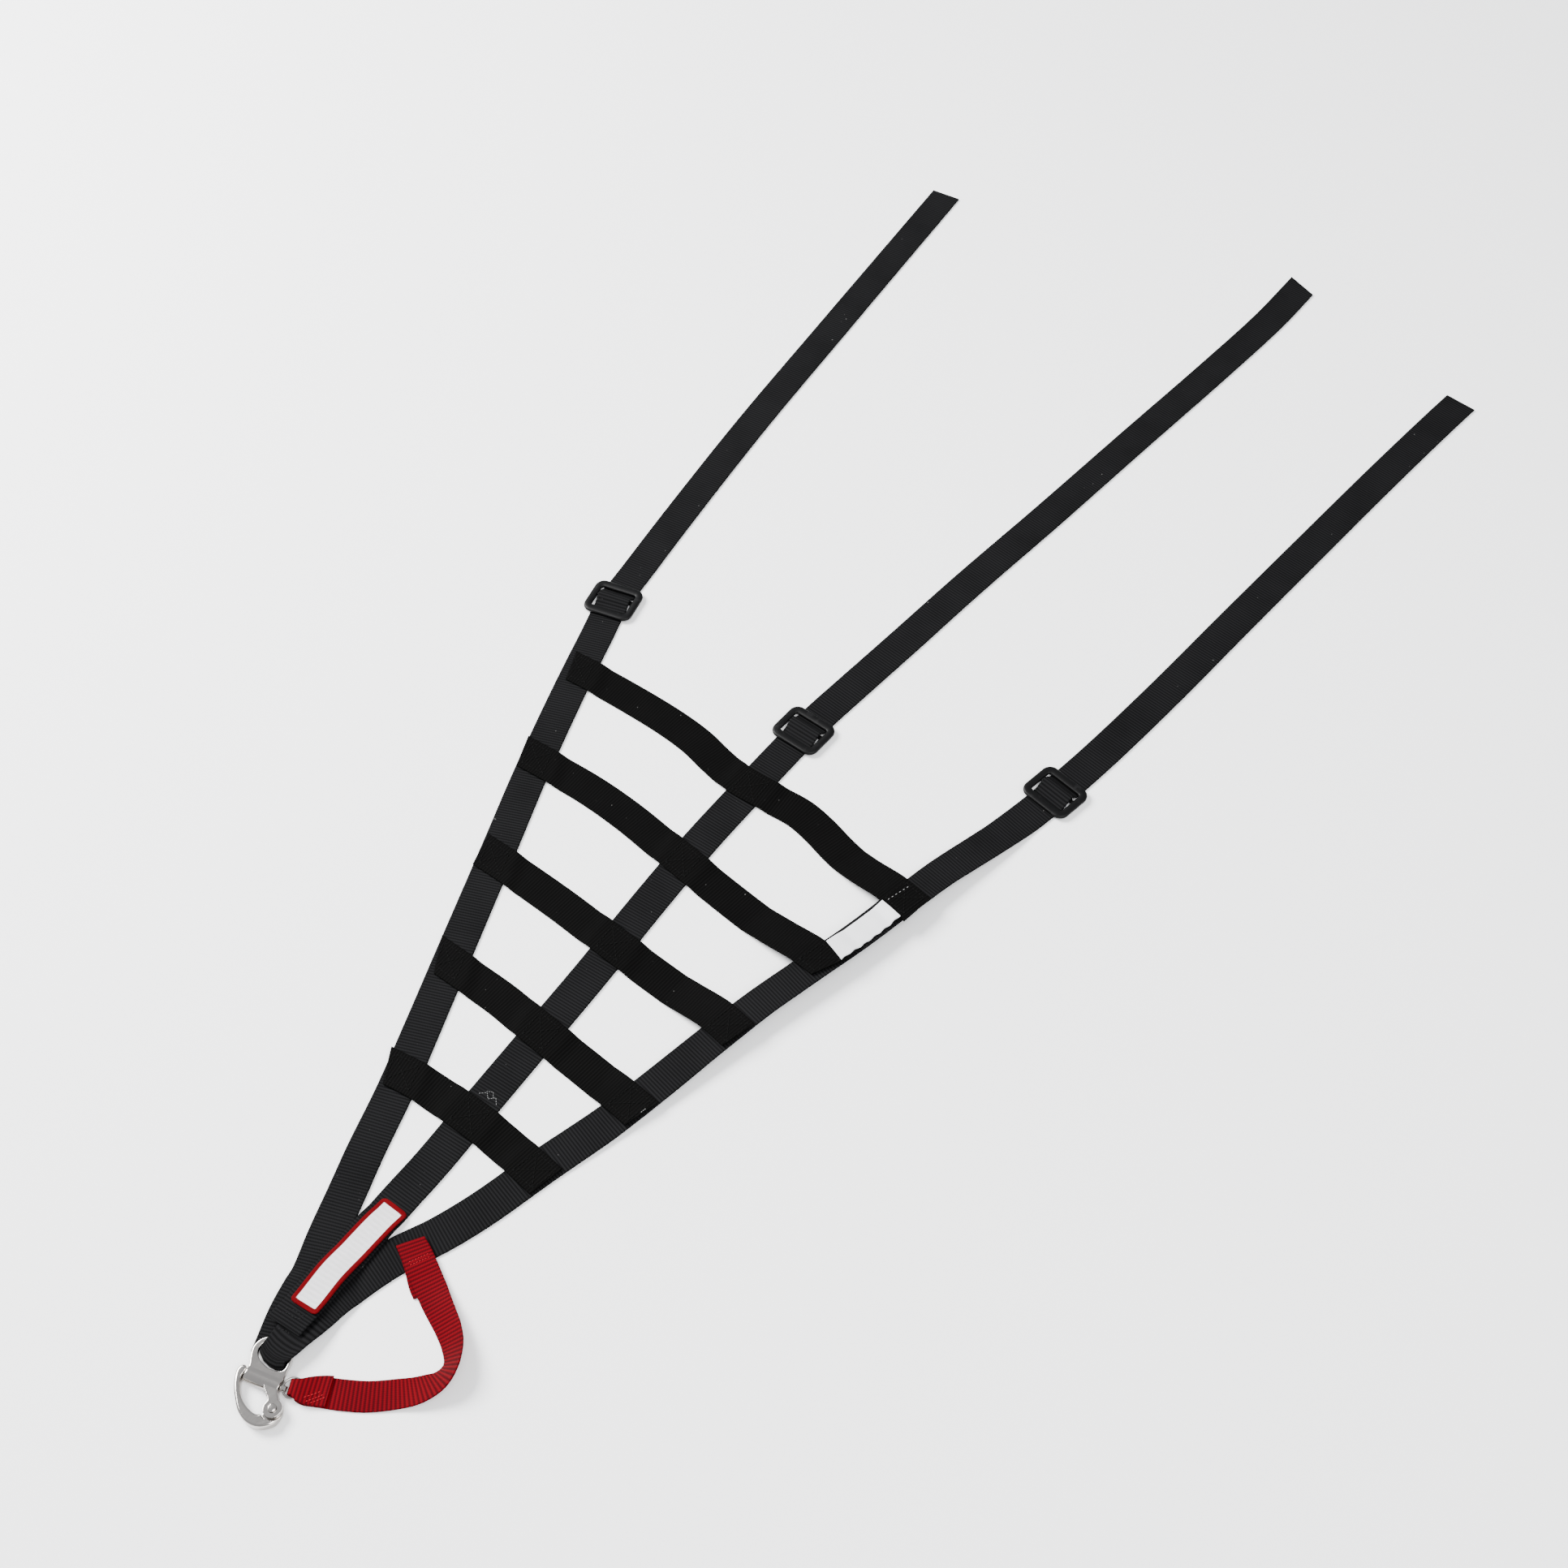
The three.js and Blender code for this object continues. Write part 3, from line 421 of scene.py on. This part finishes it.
# Weave: ribs across the webbing, twisted yarns along it, fibre and a little lint; the rib crests are also
# painted lighter in the colour, a painted highlight
def weave_group():
    g = Group("weave",
              {"Along": "Float", "Across": "Float", "Place": "Vector", "Pitch": "Float", "PaintedRibHighlight": "Float",
               "Lint": "Float", "Dark": "Color", "Light": "Color"},
              {"Color": "Color", "Roughness": "Float", "Height": "Float"})
    along, across, place, pitch = (g.given[name] for name in ("Along", "Across", "Place", "Pitch"))
    rib = g.wave(along, pitch)
    ribs_passed = g.math("DIVIDE", along, pitch)
    yarn = g.wave(g.math("ADD", g.math("DIVIDE", across, YARN), g.math("MULTIPLY", ribs_passed, 0.5)))
    fibre, wear = g.noise(place, 2600, 4), g.noise(place, 28, 3)
    # The rib wave's share of the tone is painted highlight on the rib crests; yarn, fibre and the wear
    # patches are the cloth's own grain
    tone = g.total((rib, g.given["PaintedRibHighlight"]), (yarn, 0.22), (fibre, 0.25))
    tone = g.math("MULTIPLY", tone, g.math("ADD", wear, 0.45), clamp=True)
    fleck = g.step(g.noise(place, 420, 1), 0.80, 0.86)
    cloth = g.mix(tone, g.given["Dark"], g.given["Light"])
    g.put(g.result["Color"], g.mix(g.math("MULTIPLY", fleck, g.given["Lint"]), cloth, LINT))
    g.put(g.result["Roughness"], g.math("SUBTRACT", 0.82, g.math("MULTIPLY", yarn, 0.12)))
    g.put(g.result["Height"], g.total((rib, 0.5), (yarn, 0.35), (fibre, 0.35)))
    return g.tree


def thread_group():
    g = Group("thread_grain", {"Place": "Vector", "Dark": "Color", "Light": "Color"},
              {"Color": "Color", "Height": "Float"})
    grain = g.noise(g.given["Place"], 3000, 2)
    g.put(g.result["Color"], g.mix(grain, g.given["Dark"], g.given["Light"]))
    g.put(g.result["Height"], grain)
    return g.tree


WEAVE, THREAD_GRAIN = weave_group(), thread_group()


# The rib share sets how much lighter the rib crests are painted, a painted highlight; dark, light, yarn and
# lint are the cloth's own colour
def webbing_finish(name, dark, light, pitch, painted_rib_highlight, lint, specular):
    f = Finish(name, 0.7, specular=specular)
    woven = f.group(WEAVE, {
        "Along": f.read("along"), "Across": f.read("across"), "Place": f.place(), "Pitch": pitch * MM,
        "PaintedRibHighlight": painted_rib_highlight, "Lint": lint, "Dark": (*dark, 1), "Light": (*light, 1)})
    return f.surface(woven["Color"], woven["Roughness"], woven["Height"], 0.00016, 0.8)


def patch_finish():
    f = Finish("embroidery", 0.75, specular=0.05)
    along, across = f.read("along"), f.read("across")
    inside = f.step(f.read("edge"), PATCH["border"] - 0.15, PATCH["border"] + 0.15)
    bands = f.math("ADD", f.wave(along, EMBROIDERY["bands"]), 0.3)
    fill = f.math("MULTIPLY", f.wave(across, EMBROIDERY["fill"]), bands)
    border = f.wave(f.math("ADD", along, across), EMBROIDERY["border"])
    grain = f.noise(f.place(), 1800, 3)
    white = f.mix(fill, (0.60, 0.585, 0.60), (0.80, 0.79, 0.80))
    red = f.mix(f.total((border, 0.6), (grain, 0.4)), (0.05, 0.0001, 0.0012), (0.16, 0.0003, 0.0035))
    height = f.total((fill, inside), (border, f.math("SUBTRACT", 1.0, inside)), (grain, 0.3))
    return f.surface(f.mix(inside, red, white), None, height, 0.0002, 0.8)


def label_finish():
    f = Finish("satin_tape", 0.42, sheen=0.3)
    across, along = f.wave(f.read("across"), SATIN["across"]), f.wave(f.read("along"), SATIN["along"])
    weave = f.math("MULTIPLY", across, along)
    # One noise drives both the crease bumps and a darkening of the white colour; the darkening is painted
    # shade in the creases
    crease_and_painted_shade = f.noise(f.stretch(f.place(), (1, 1, 0.2)), 60, 2)
    colour = f.mix(f.math("MULTIPLY", crease_and_painted_shade, 0.5), (0.72, 0.72, 0.74), (0.56, 0.56, 0.58))
    height = f.math("ADD", f.math("MULTIPLY", weave, 0.25), crease_and_painted_shade)
    return f.surface(colour, None, height, 0.0003, 0.5)


def slider_finish():
    f = Finish("black_coating", 0.45, specular=0.12)
    grain = f.noise(f.place(), 900, 3)
    scuff = f.step(f.noise(f.place(), 160, 4), 0.58, 0.75)
    colour = f.mix(scuff, (0.001, 0.001, 0.0011), (0.004, 0.004, 0.0042))
    rough = f.math("ADD", f.math("MULTIPLY", scuff, 0.15), 0.42)
    return f.surface(colour, rough, grain, 0.00004, 0.5)


def steel_finish():
    f = Finish("polished_steel", 0.14, metallic=1.0)
    scratch = f.noise(f.stretch(f.place(), (1, 0.15, 1)), 1400, 3)
    stain = f.noise(f.place(), 110, 4)
    colour = f.mix(stain, (0.50, 0.475, 0.45), (0.38, 0.36, 0.34))
    return f.surface(colour, f.total((scratch, 0.08), (stain, 0.14)), scratch, 0.000004, 0.3)


def thread_finish(name, dark, light):
    f = Finish(name, 0.7, specular=0.05)
    twisted = f.group(THREAD_GRAIN, {"Place": f.place(), "Dark": (*dark, 1), "Light": (*light, 1)})
    return f.surface(twisted["Color"], None, twisted["Height"], 0.00005, 0.6)


BLACK = webbing_finish(
    "black_webbing", (0.0001, 0.0001, 0.00012), (0.0068, 0.0068, 0.0072), WEB["rib"],
    painted_rib_highlight=0.9, lint=0.25, specular=0.035)
CROSS_BLACK = webbing_finish(
    "cross_webbing", (0.0001, 0.0001, 0.00009), (0.0022, 0.0021, 0.0020), WEB["rib"],
    painted_rib_highlight=0.6, lint=0.25, specular=0.03)
RED_CLOTH = webbing_finish(
    "red_webbing", (0.012, 0.0, 0.0008), (0.105, 0.0001, 0.003), RED["rib"],
    painted_rib_highlight=0.85, lint=0.0, specular=0.04)
STEEL = steel_finish()
COATING = slider_finish()


def declare(node):
    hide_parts(node)


def web_relief(s):
    return rib_relief(s, WEB["rib"], WEB["relief"])


# Straps that lie with their face up
def lay_strap(node, material, route, skew):
    s, face = laid(node, route, WEB["width"], skew)
    back = face - np.array([0, 0, WEB["thick"]])
    piece = strip(f"{node}_cloth", face, back, s, WEB["width"], web_relief(s), material)
    declare(node)


def shackle_place(x, y):
    a = math.radians(SHACKLE["turn"])
    return np.array([SHACKLE["x"] + x * math.cos(a) - y * math.sin(a),
                     SHACKLE["y"] + x * math.sin(a) + y * math.cos(a)])


# The right strap turns down through the bail and its tail comes back under the left one
def right_strap(route):
    outer = FOLD["radius"] + WEB["thick"]
    knots = np.array([shackle_place(x, y + outer) for x, y in FOLD["across"]])
    positions = np.linspace(-0.5, 0.5, len(knots))
    axis = np.stack([np.interp(ACROSS, positions, knots[:, i]) for i in (0, 1)], -1)
    s, face = laid("strap_right", route, WEB["width"], start=knots, blend=FOLD["blend"])
    back = face - np.array([0, 0, WEB["thick"]])
    inwards = shackle_place(0, 1) - shackle_place(0, 0)
    turn = np.pi * FOLD["radius"] * FOLD["stretch"]
    shares = np.linspace(0, 1, FOLD["steps"])[1:-1]
    angles = np.linspace(np.pi, 0, FOLD["steps"])[1:-1]

    def arc(radius):
        flat = axis[None] - inwards * (radius * np.sin(angles))[:, None, None]
        height = np.broadcast_to((outer + radius * np.cos(angles))[:, None], flat.shape[:2])
        return np.concatenate([flat, height[..., None]], -1)

    a = math.radians(TAIL["heading"])
    heading, side = np.array([math.cos(a), math.sin(a)]), np.array([math.sin(a), -math.cos(a)])
    along = np.arange(TAIL["length"], -0.01, -ROW)
    straight = (axis[MIDDLE] + heading * (along[:, None, None] + TAIL["start"])
                + side * (ACROSS * WEB["width"])[None, :, None])
    share = ease(along, 0, TAIL["spread"])[:, None, None]
    flat = (axis[None] + heading * along[:, None, None]) * (1 - share) + straight * share
    low = np.concatenate([flat, np.zeros((*flat.shape[:2], 1))], -1)
    high = low + np.array([0, 0, WEB["thick"]])
    columns = np.ones(len(ACROSS))
    everything = np.concatenate([
        -(along + turn)[:, None] * columns, -turn * (1 - shares)[:, None] * columns, s])
    piece = strip("strap_right_cloth", np.concatenate([low, arc(outer), face]),
                  np.concatenate([high, arc(FOLD["radius"]), back]), everything, WEB["width"],
                  web_relief(everything), BLACK)
    declare("strap_right")


# Uniform spline through a column of numbers
def spline(values, x):
    v = np.array([values[0], *values, values[-1], values[-1]], float)
    k = np.minimum(x.astype(int), len(values) - 1)
    t = x - k
    a, b, c, d = v[k], v[k + 1], v[np.minimum(k + 2, len(v) - 2)], v[np.minimum(k + 3, len(v) - 1)]
    m, n = (c - a) / 2, (d - b) / 2
    return b + m * t + (3 * c - 3 * b - 2 * m - n) * t ** 2 + (2 * b - 2 * c + m + n) * t ** 3


def sections(rows, fine):
    x = np.linspace(0, len(rows) - 1, (len(rows) - 1) * fine + 1)
    px, py, z, across, bank, wide = (spline([row[i] for row in rows], x) for i in range(6))
    a, b = np.radians(across), -np.radians(np.maximum(bank, 0))
    direction = np.stack([np.cos(a) * np.cos(b), np.sin(a) * np.cos(b), np.sin(b)], -1)
    place = np.stack([px, py, np.maximum(z, 0) + RED["thick"] / 2 * np.cos(b) - wide * np.sin(b)], -1)
    return place, direction, wide


def half_turn(one, other, steps=16):
    (place, direction, wide), (target, _, _) = one, other
    travel = np.array([-direction[-1][1], direction[-1][0], 0])
    travel /= np.linalg.norm(travel)
    if travel @ (place[-1] - place[-2]) < 0:
        travel = -travel
    centre, radius = (place[-1] + target[0]) / 2, (place[-1][2] - target[0][2]) / 2
    angle = np.pi * np.arange(1, steps)[:, None] / steps
    points = centre + travel * abs(radius) * np.sin(angle) + np.array([0, 0, radius]) * np.cos(angle)
    return points, np.repeat(direction[-1:], steps - 1, 0), np.repeat(wide[-1:], steps - 1)


def tether():
    loop, run, hem = sections(TETHER_LOOP, 12), sections(TETHER_RUN, 18), sections(TETHER_HEM, 12)
    parts = [loop, half_turn(loop, run), run, half_turn(run, hem), hem]
    place, direction, wide = (np.concatenate([part[i] for part in parts]) for i in range(3))
    before, after = np.roll(place, 1, 0), np.roll(place, -1, 0)
    before[0], after[-1] = place[0], place[-1]
    out = np.cross(after - before, direction)
    out /= np.linalg.norm(out, axis=1, keepdims=True)
    row = place[:, None] + direction[:, None] * (wide[:, None] * (ACROSS + 0.5))[..., None]
    length = np.concatenate([[0], np.cumsum(np.linalg.norm(np.diff(row[:, MIDDLE], axis=0), axis=1))])
    s = length[:, None] * np.ones(len(ACROSS))
    half = out[:, None] * RED["thick"] / 2
    relief = rib_relief(s, RED["rib"], RED["relief"])
    piece = strip("tether_cloth", row + half, row - half, s, RED["width"], relief, RED_CLOTH)
    declare("tether")


LONG = {
    "strap_left": Route(LEFT_ROUTE), "strap_middle": Route(MIDDLE_ROUTE), "strap_right": Route(RIGHT_ROUTE)}
CROSS_ROUTES = {name: Route(item["route"]) for name, item in CROSS.items()}
lay_strap("strap_left", BLACK, LONG["strap_left"], (12, 0))
lay_strap("strap_middle", BLACK, LONG["strap_middle"], (0, -9))
right_strap(LONG["strap_right"])
for name, item in CROSS.items():
    lay_strap(name, CROSS_BLACK, CROSS_ROUTES[name], item["skew"])
tether()


# Patch with a raised border and rounded corners
def patch():
    route, width, corner = Route(PATCH["route"]), PATCH["width"], PATCH["round"]
    s, face = laid("patch", route, width, round_ends=corner)
    ends = np.minimum(s, route.length - s)
    sides = np.broadcast_to(width / 2 - np.abs(ACROSS * width), s.shape)
    cut = np.hypot(np.clip(corner - ends, 0, None), np.clip(corner - sides, 0, None))
    edge = np.where((ends < corner) & (sides < corner), corner - cut, np.minimum(ends, sides))
    relief = -PATCH["sink"] * ease(edge, PATCH["border"] - 0.5, PATCH["border"] + 0.6)
    back = face - np.array([0, 0, TRIM_THICK])
    piece = strip("patch_cloth", face, back, s, width, relief, patch_finish(), edge)
    declare("patch")


# Label with one uneven edge and a slight wave
def label():
    route, width = Route(LABEL["route"]), LABEL["width"]
    s, face = laid("label", route, width, LABEL["skew"])
    ripple = 1 + np.sin(s * 2 * np.pi / LABEL["ripple_pitch"])
    ripple *= -LABEL["ripple"] * ease(ACROSS, 0.2, 0.5)
    face[..., :2] += route.at(s)[2] * ripple[..., None]
    relief = -LABEL["wave"] * (0.5 + 0.5 * np.sin(s * 2 * np.pi / LABEL["wave_pitch"]))
    back = face - np.array([0, 0, TRIM_THICK])
    piece = strip("label_cloth", face, back, s, width, relief, label_finish())
    declare("label")


patch()
label()


# Closed outline of a rounded rectangle, with points along its sides
def rounded(width, height, radius, corner=8, side=6):
    centres = [np.array([x * (width / 2 - radius), y * (height / 2 - radius)])
               for x, y in ((1, 1), (-1, 1), (-1, -1), (1, -1))]

    def spoke(degrees):
        a = math.radians(degrees)
        return radius * np.array([math.cos(a), math.sin(a)])

    points = []
    for k in range(4):
        points += [centres[k] + spoke(a) for a in np.linspace(90 * k, 90 * k + 90, corner)]
        last, following = points[-1], centres[(k + 1) % 4] + spoke(90 * k + 90)
        points += [last * (1 - i / side) + following * (i / side) for i in range(1, side)]
    return points


# Sliders: a frame with rounded edges and a low bar across its window
def slider(name, x, y, turn):
    low, top = SLIDER["bottom"], SLIDER["bottom"] + SLIDER["thick"]

    def window(d):
        return rounded(SLIDER["window"][0] + 2 * d, SLIDER["window"][1] + 2 * d, SLIDER["window_corner"] + d)

    def rim(d):
        return rounded(SLIDER["across"] - 2 * d, SLIDER["along"] - 2 * d, SLIDER["corner"] - d)

    section = [(window, 0, low + 0.6), (window, 0, top - 0.9), (window, 0.25, top - 0.35), (window, 0.9, top),
               (rim, 1.2, top), (rim, 0.4, top - 0.3), (rim, 0.08, top - 0.8), (rim, 0, top - 1.2),
               (rim, 0, low + 0.6), (rim, 0.5, low), (window, 0.5, low)]
    rings = [[(*point, z) for point in outline(d)] for outline, d, z in section]
    bar = [[(across, SLIDER["bar_at"] + v, low + SLIDER["bar_lift"] + z) for v, z in BAR_SECTION]
           for across in np.linspace(-SLIDER["bar_half"], SLIDER["bar_half"], 16)]
    places, faces = [], []
    for rows, closed in ((rings, True), (bar, False)):
        first, size = len(places), len(rows[0])
        places += [point for row in rows for point in row]
        for i in range(len(rows) if closed else len(rows) - 1):
            a, b = first + i * size, first + (i + 1) % len(rows) * size
            faces += [(a + k, a + (k + 1) % size, b + (k + 1) % size, b + k) for k in range(size)]
    mesh = bpy.data.meshes.new(name)
    mesh.from_pydata(places, [], faces)
    spin = Matrix.Rotation(math.radians(turn), 4, "Z")
    mesh.transform(Matrix.Scale(MM, 4) @ Matrix.Translation((x + SHIFT[0], y + SHIFT[1], 0)) @ spin)
    piece = finish_piece(f"{name}_frame", mesh, COATING)
    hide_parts(name)


for name, (x, y, turn) in SLIDERS.items():
    slider(name, x, y, turn)


# Steel pieces: body, voxel size in millimetres and rounds of smoothing
STEEL_PIECES = {
    "shackle_body": ("net", 0.2, 14), "shackle_arm": ("gate", 0.2, 14), "shackle_rivet": ("net", 0.1, 6),
    "shackle_plunger": ("net", 0.1, 3), "shackle_ring": ("net", 0.12, 4)}


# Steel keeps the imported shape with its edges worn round
def polished(node, body, voxel, rounds):
    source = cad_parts[node]
    work = bpy.data.objects.new(f"{node}_work", source.data.copy())
    bpy.context.scene.collection.objects.link(work)
    remesh = work.modifiers.new("even", "REMESH")
    remesh.mode, remesh.voxel_size = "VOXEL", voxel * MM
    relax = work.modifiers.new("worn", "SMOOTH")
    relax.iterations, relax.factor = rounds, 0.5
    view = bpy.context.evaluated_depsgraph_get()
    mesh = bpy.data.meshes.new_from_object(work.evaluated_get(view))
    bpy.data.objects.remove(work)
    mesh.materials.clear()
    piece = finish_piece(f"{node}_steel", mesh, STEEL, body, weld=1e-7)
    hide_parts(node)


for node, row in STEEL_PIECES.items():
    polished(node, *row)


# Stitches: short arched threads that lie on a node's upper face
class Stitches:
    SIDES = 6
    SHARES = (0, 0.15, 0.5, 0.85, 1)
    LIFT = 0.05

    def __init__(self):
        self.places, self.faces = [], []

    def add(self, start, end, radius, surface):
        heights = [surface.height(*start), surface.height(*end)]
        if any(math.isnan(h) for h in heights):
            return
        run = end - start
        side = np.array([run[1], -run[0]]) / np.linalg.norm(run)
        first, count = len(self.places), self.SIDES
        for share in self.SHARES:
            arch = 1 - (2 * share - 1) ** 2
            middle = start + run * share
            height = heights[0] * (1 - share) + heights[1] * share + self.LIFT + radius * (arch - 0.6)
            size = radius * (0.35 + 0.65 * arch)
            for k in range(count):
                a = 2 * math.pi * k / count
                x, y = middle + side * size * math.cos(a) + SHIFT
                self.places.append((x * MM, y * MM, (height + size * math.sin(a)) * MM))
        rings = range(first, len(self.places), count)
        for a, b in zip(rings[:-1], rings[1:]):
            self.faces += [(a + k, a + (k + 1) % count, b + (k + 1) % count, b + k) for k in range(count)]
        self.faces += [tuple(range(ring, ring + count)) for ring in (rings[0], rings[-1])]

    def line(self, corners, pitch, radius, share, surface):
        corners = [np.array(corner, float) for corner in corners]
        for one, other in zip(corners[:-1], corners[1:]):
            count = max(1, round(np.linalg.norm(other - one) / pitch))
            for i in range(count):
                a, b = one + (other - one) * i / count, one + (other - one) * (i + share) / count
                self.add(a, b, radius, surface)

    def finish(self, name, material):
        mesh = bpy.data.meshes.new(name)
        mesh.from_pydata(self.places, [], self.faces)
        finish_piece(name, mesh, material, weld=1e-8)


def crossing(one, other):
    gap = np.linalg.norm(one.points[:, None] - other.points[None], axis=-1)
    i, j = np.unravel_index(gap.argmin(), gap.shape)
    return (one.points[i] + other.points[j]) / 2, one.headings[i], other.headings[j]


# Sewing at each crossing: a box with two diagonals
SEWING = {"half": 9.2, "pitch": 3.0, "radius": 0.3, "share": 0.72}
black_thread = Stitches()
for name, route in CROSS_ROUTES.items():
    surface = Surface(name)
    for long_route in LONG.values():
        middle, over, under = crossing(route, long_route)
        a, b = over * SEWING["half"], under * SEWING["half"]
        box = [middle - a - b, middle + a - b, middle + a + b, middle - a + b]
        for corners in ([*box, box[0]], [box[0], box[2]], [box[1], box[3]]):
            black_thread.line(corners, SEWING["pitch"], SEWING["radius"], SEWING["share"], surface)
black_thread.finish(
    "stitching_black", thread_finish("black_thread", (0.0008, 0.0008, 0.0008), (0.006, 0.006, 0.006)))

# Threads that show: surface, pitch, radius, share of the pitch that is thread, corners
PALE_THREADS = [
    ("cross_strap_1", 3.4, 0.28, 0.45, [(82.6, 500.1), (87.9, 518.2)]),
    ("strap_middle", 1.7, 0.17, 0.72, [(-44, 236), (-40, 239.5), (-36.5, 236.5), (-33, 240), (-29, 236)]),
    ("strap_middle", 1.6, 0.15, 0.72, [(-41, 240), (-37, 242), (-34, 238.5)]),
    ("cross_strap_4", 1.4, 0.2, 0.72, [(49.4, 284.5), (50.4, 288.5)]),
]
DARK_THREADS = [
    ("strap_middle", 2.2, 0.28, 0.72, [(-38, 56), (-33, 58.5), (-28, 58.5), (-24, 61)]),
    ("strap_middle", 2.2, 0.28, 0.72, [(-37, 60), (-31, 62.5), (-26, 62), (-22, 65)]),
    ("strap_right", 2.2, 0.28, 0.72, [(-31, 48), (-27, 50), (-23, 50)]),
]
RED_TACKS = [
    ("tether", 1.9, 0.3, 0.72, [(0.5, 125.5), (6.5, 137)]),
    ("tether", 1.9, 0.3, 0.72, [(2.5, 124.5), (8.5, 136)]),
    ("tether", 1.9, 0.3, 0.72, [(9, 28), (14, 37)]),
    ("tether", 1.9, 0.3, 0.72, [(11.5, 27), (16.5, 36.5)]),
    ("tether", 1.9, 0.3, 0.72, [(14, 28), (18.5, 36)]),
]
for name, rows, thread, dark, light, slot in (
        ("stitching_pale", PALE_THREADS, "pale_thread", (0.10, 0.10, 0.10), (0.30, 0.30, 0.30), "webbing"),
        ("stitching_dark", DARK_THREADS, "dark_thread", (0.004, 0.004, 0.004), (0.02, 0.02, 0.02), "webbing"),
        ("stitching_red", RED_TACKS, "red_thread", (0.14, 0.001, 0.003), (0.42, 0.02, 0.03), "red_webbing")):
    threads = Stitches()
    for node, pitch, radius, share, corners in rows:
        threads.line(corners, pitch, radius, share, Surface(node))
    threads.finish(name, thread_finish(thread, dark, light))


# Studio: the floor's half width and height, and each light's name, place, size and power
FLOOR = {"half": 4, "height": -0.0002}
LIGHTS = [("key", (-2.0, -0.4, 1.9), 1.3, 270), ("fill", (1.6, -0.7, 2.5), 2.2, 125)]


# Pale floor and soft light from the upper left of the view
def studio():
    mesh = bpy.data.meshes.new("floor")
    corners = [(x * FLOOR["half"], y * FLOOR["half"], FLOOR["height"])
               for x, y in ((-1, -1), (1, -1), (1, 1), (-1, 1))]
    mesh.from_pydata(corners, [], [(0, 1, 2, 3)])
    f = Finish("pale_floor", 0.9, specular=0.1)
    tone = f.mix(f.noise(f.place(), 3, 2), (0.955, 0.955, 0.957), (0.97, 0.97, 0.972))
    mesh.materials.append(f.surface(tone))
    floor = bpy.data.objects.new("floor", mesh)
    bpy.context.scene.collection.objects.link(floor)
    for name, place, size, power in LIGHTS:
        data = bpy.data.lights.new(name, "AREA")
        data.size, data.energy = size, power
        light = bpy.data.objects.new(name, data)
        light.location = place
        light.rotation_mode = "QUATERNION"
        light.rotation_quaternion = (-Vector(place)).to_track_quat("-Z", "Y")
        bpy.context.scene.collection.objects.link(light)
    world = bpy.data.worlds.new("studio")
    world.use_nodes = True
    background = world.node_tree.nodes["Background"]
    background.inputs["Color"].default_value = (0.94, 0.96, 1.0, 1)
    background.inputs["Strength"].default_value = 0.8
    bpy.context.scene.world = world


studio()
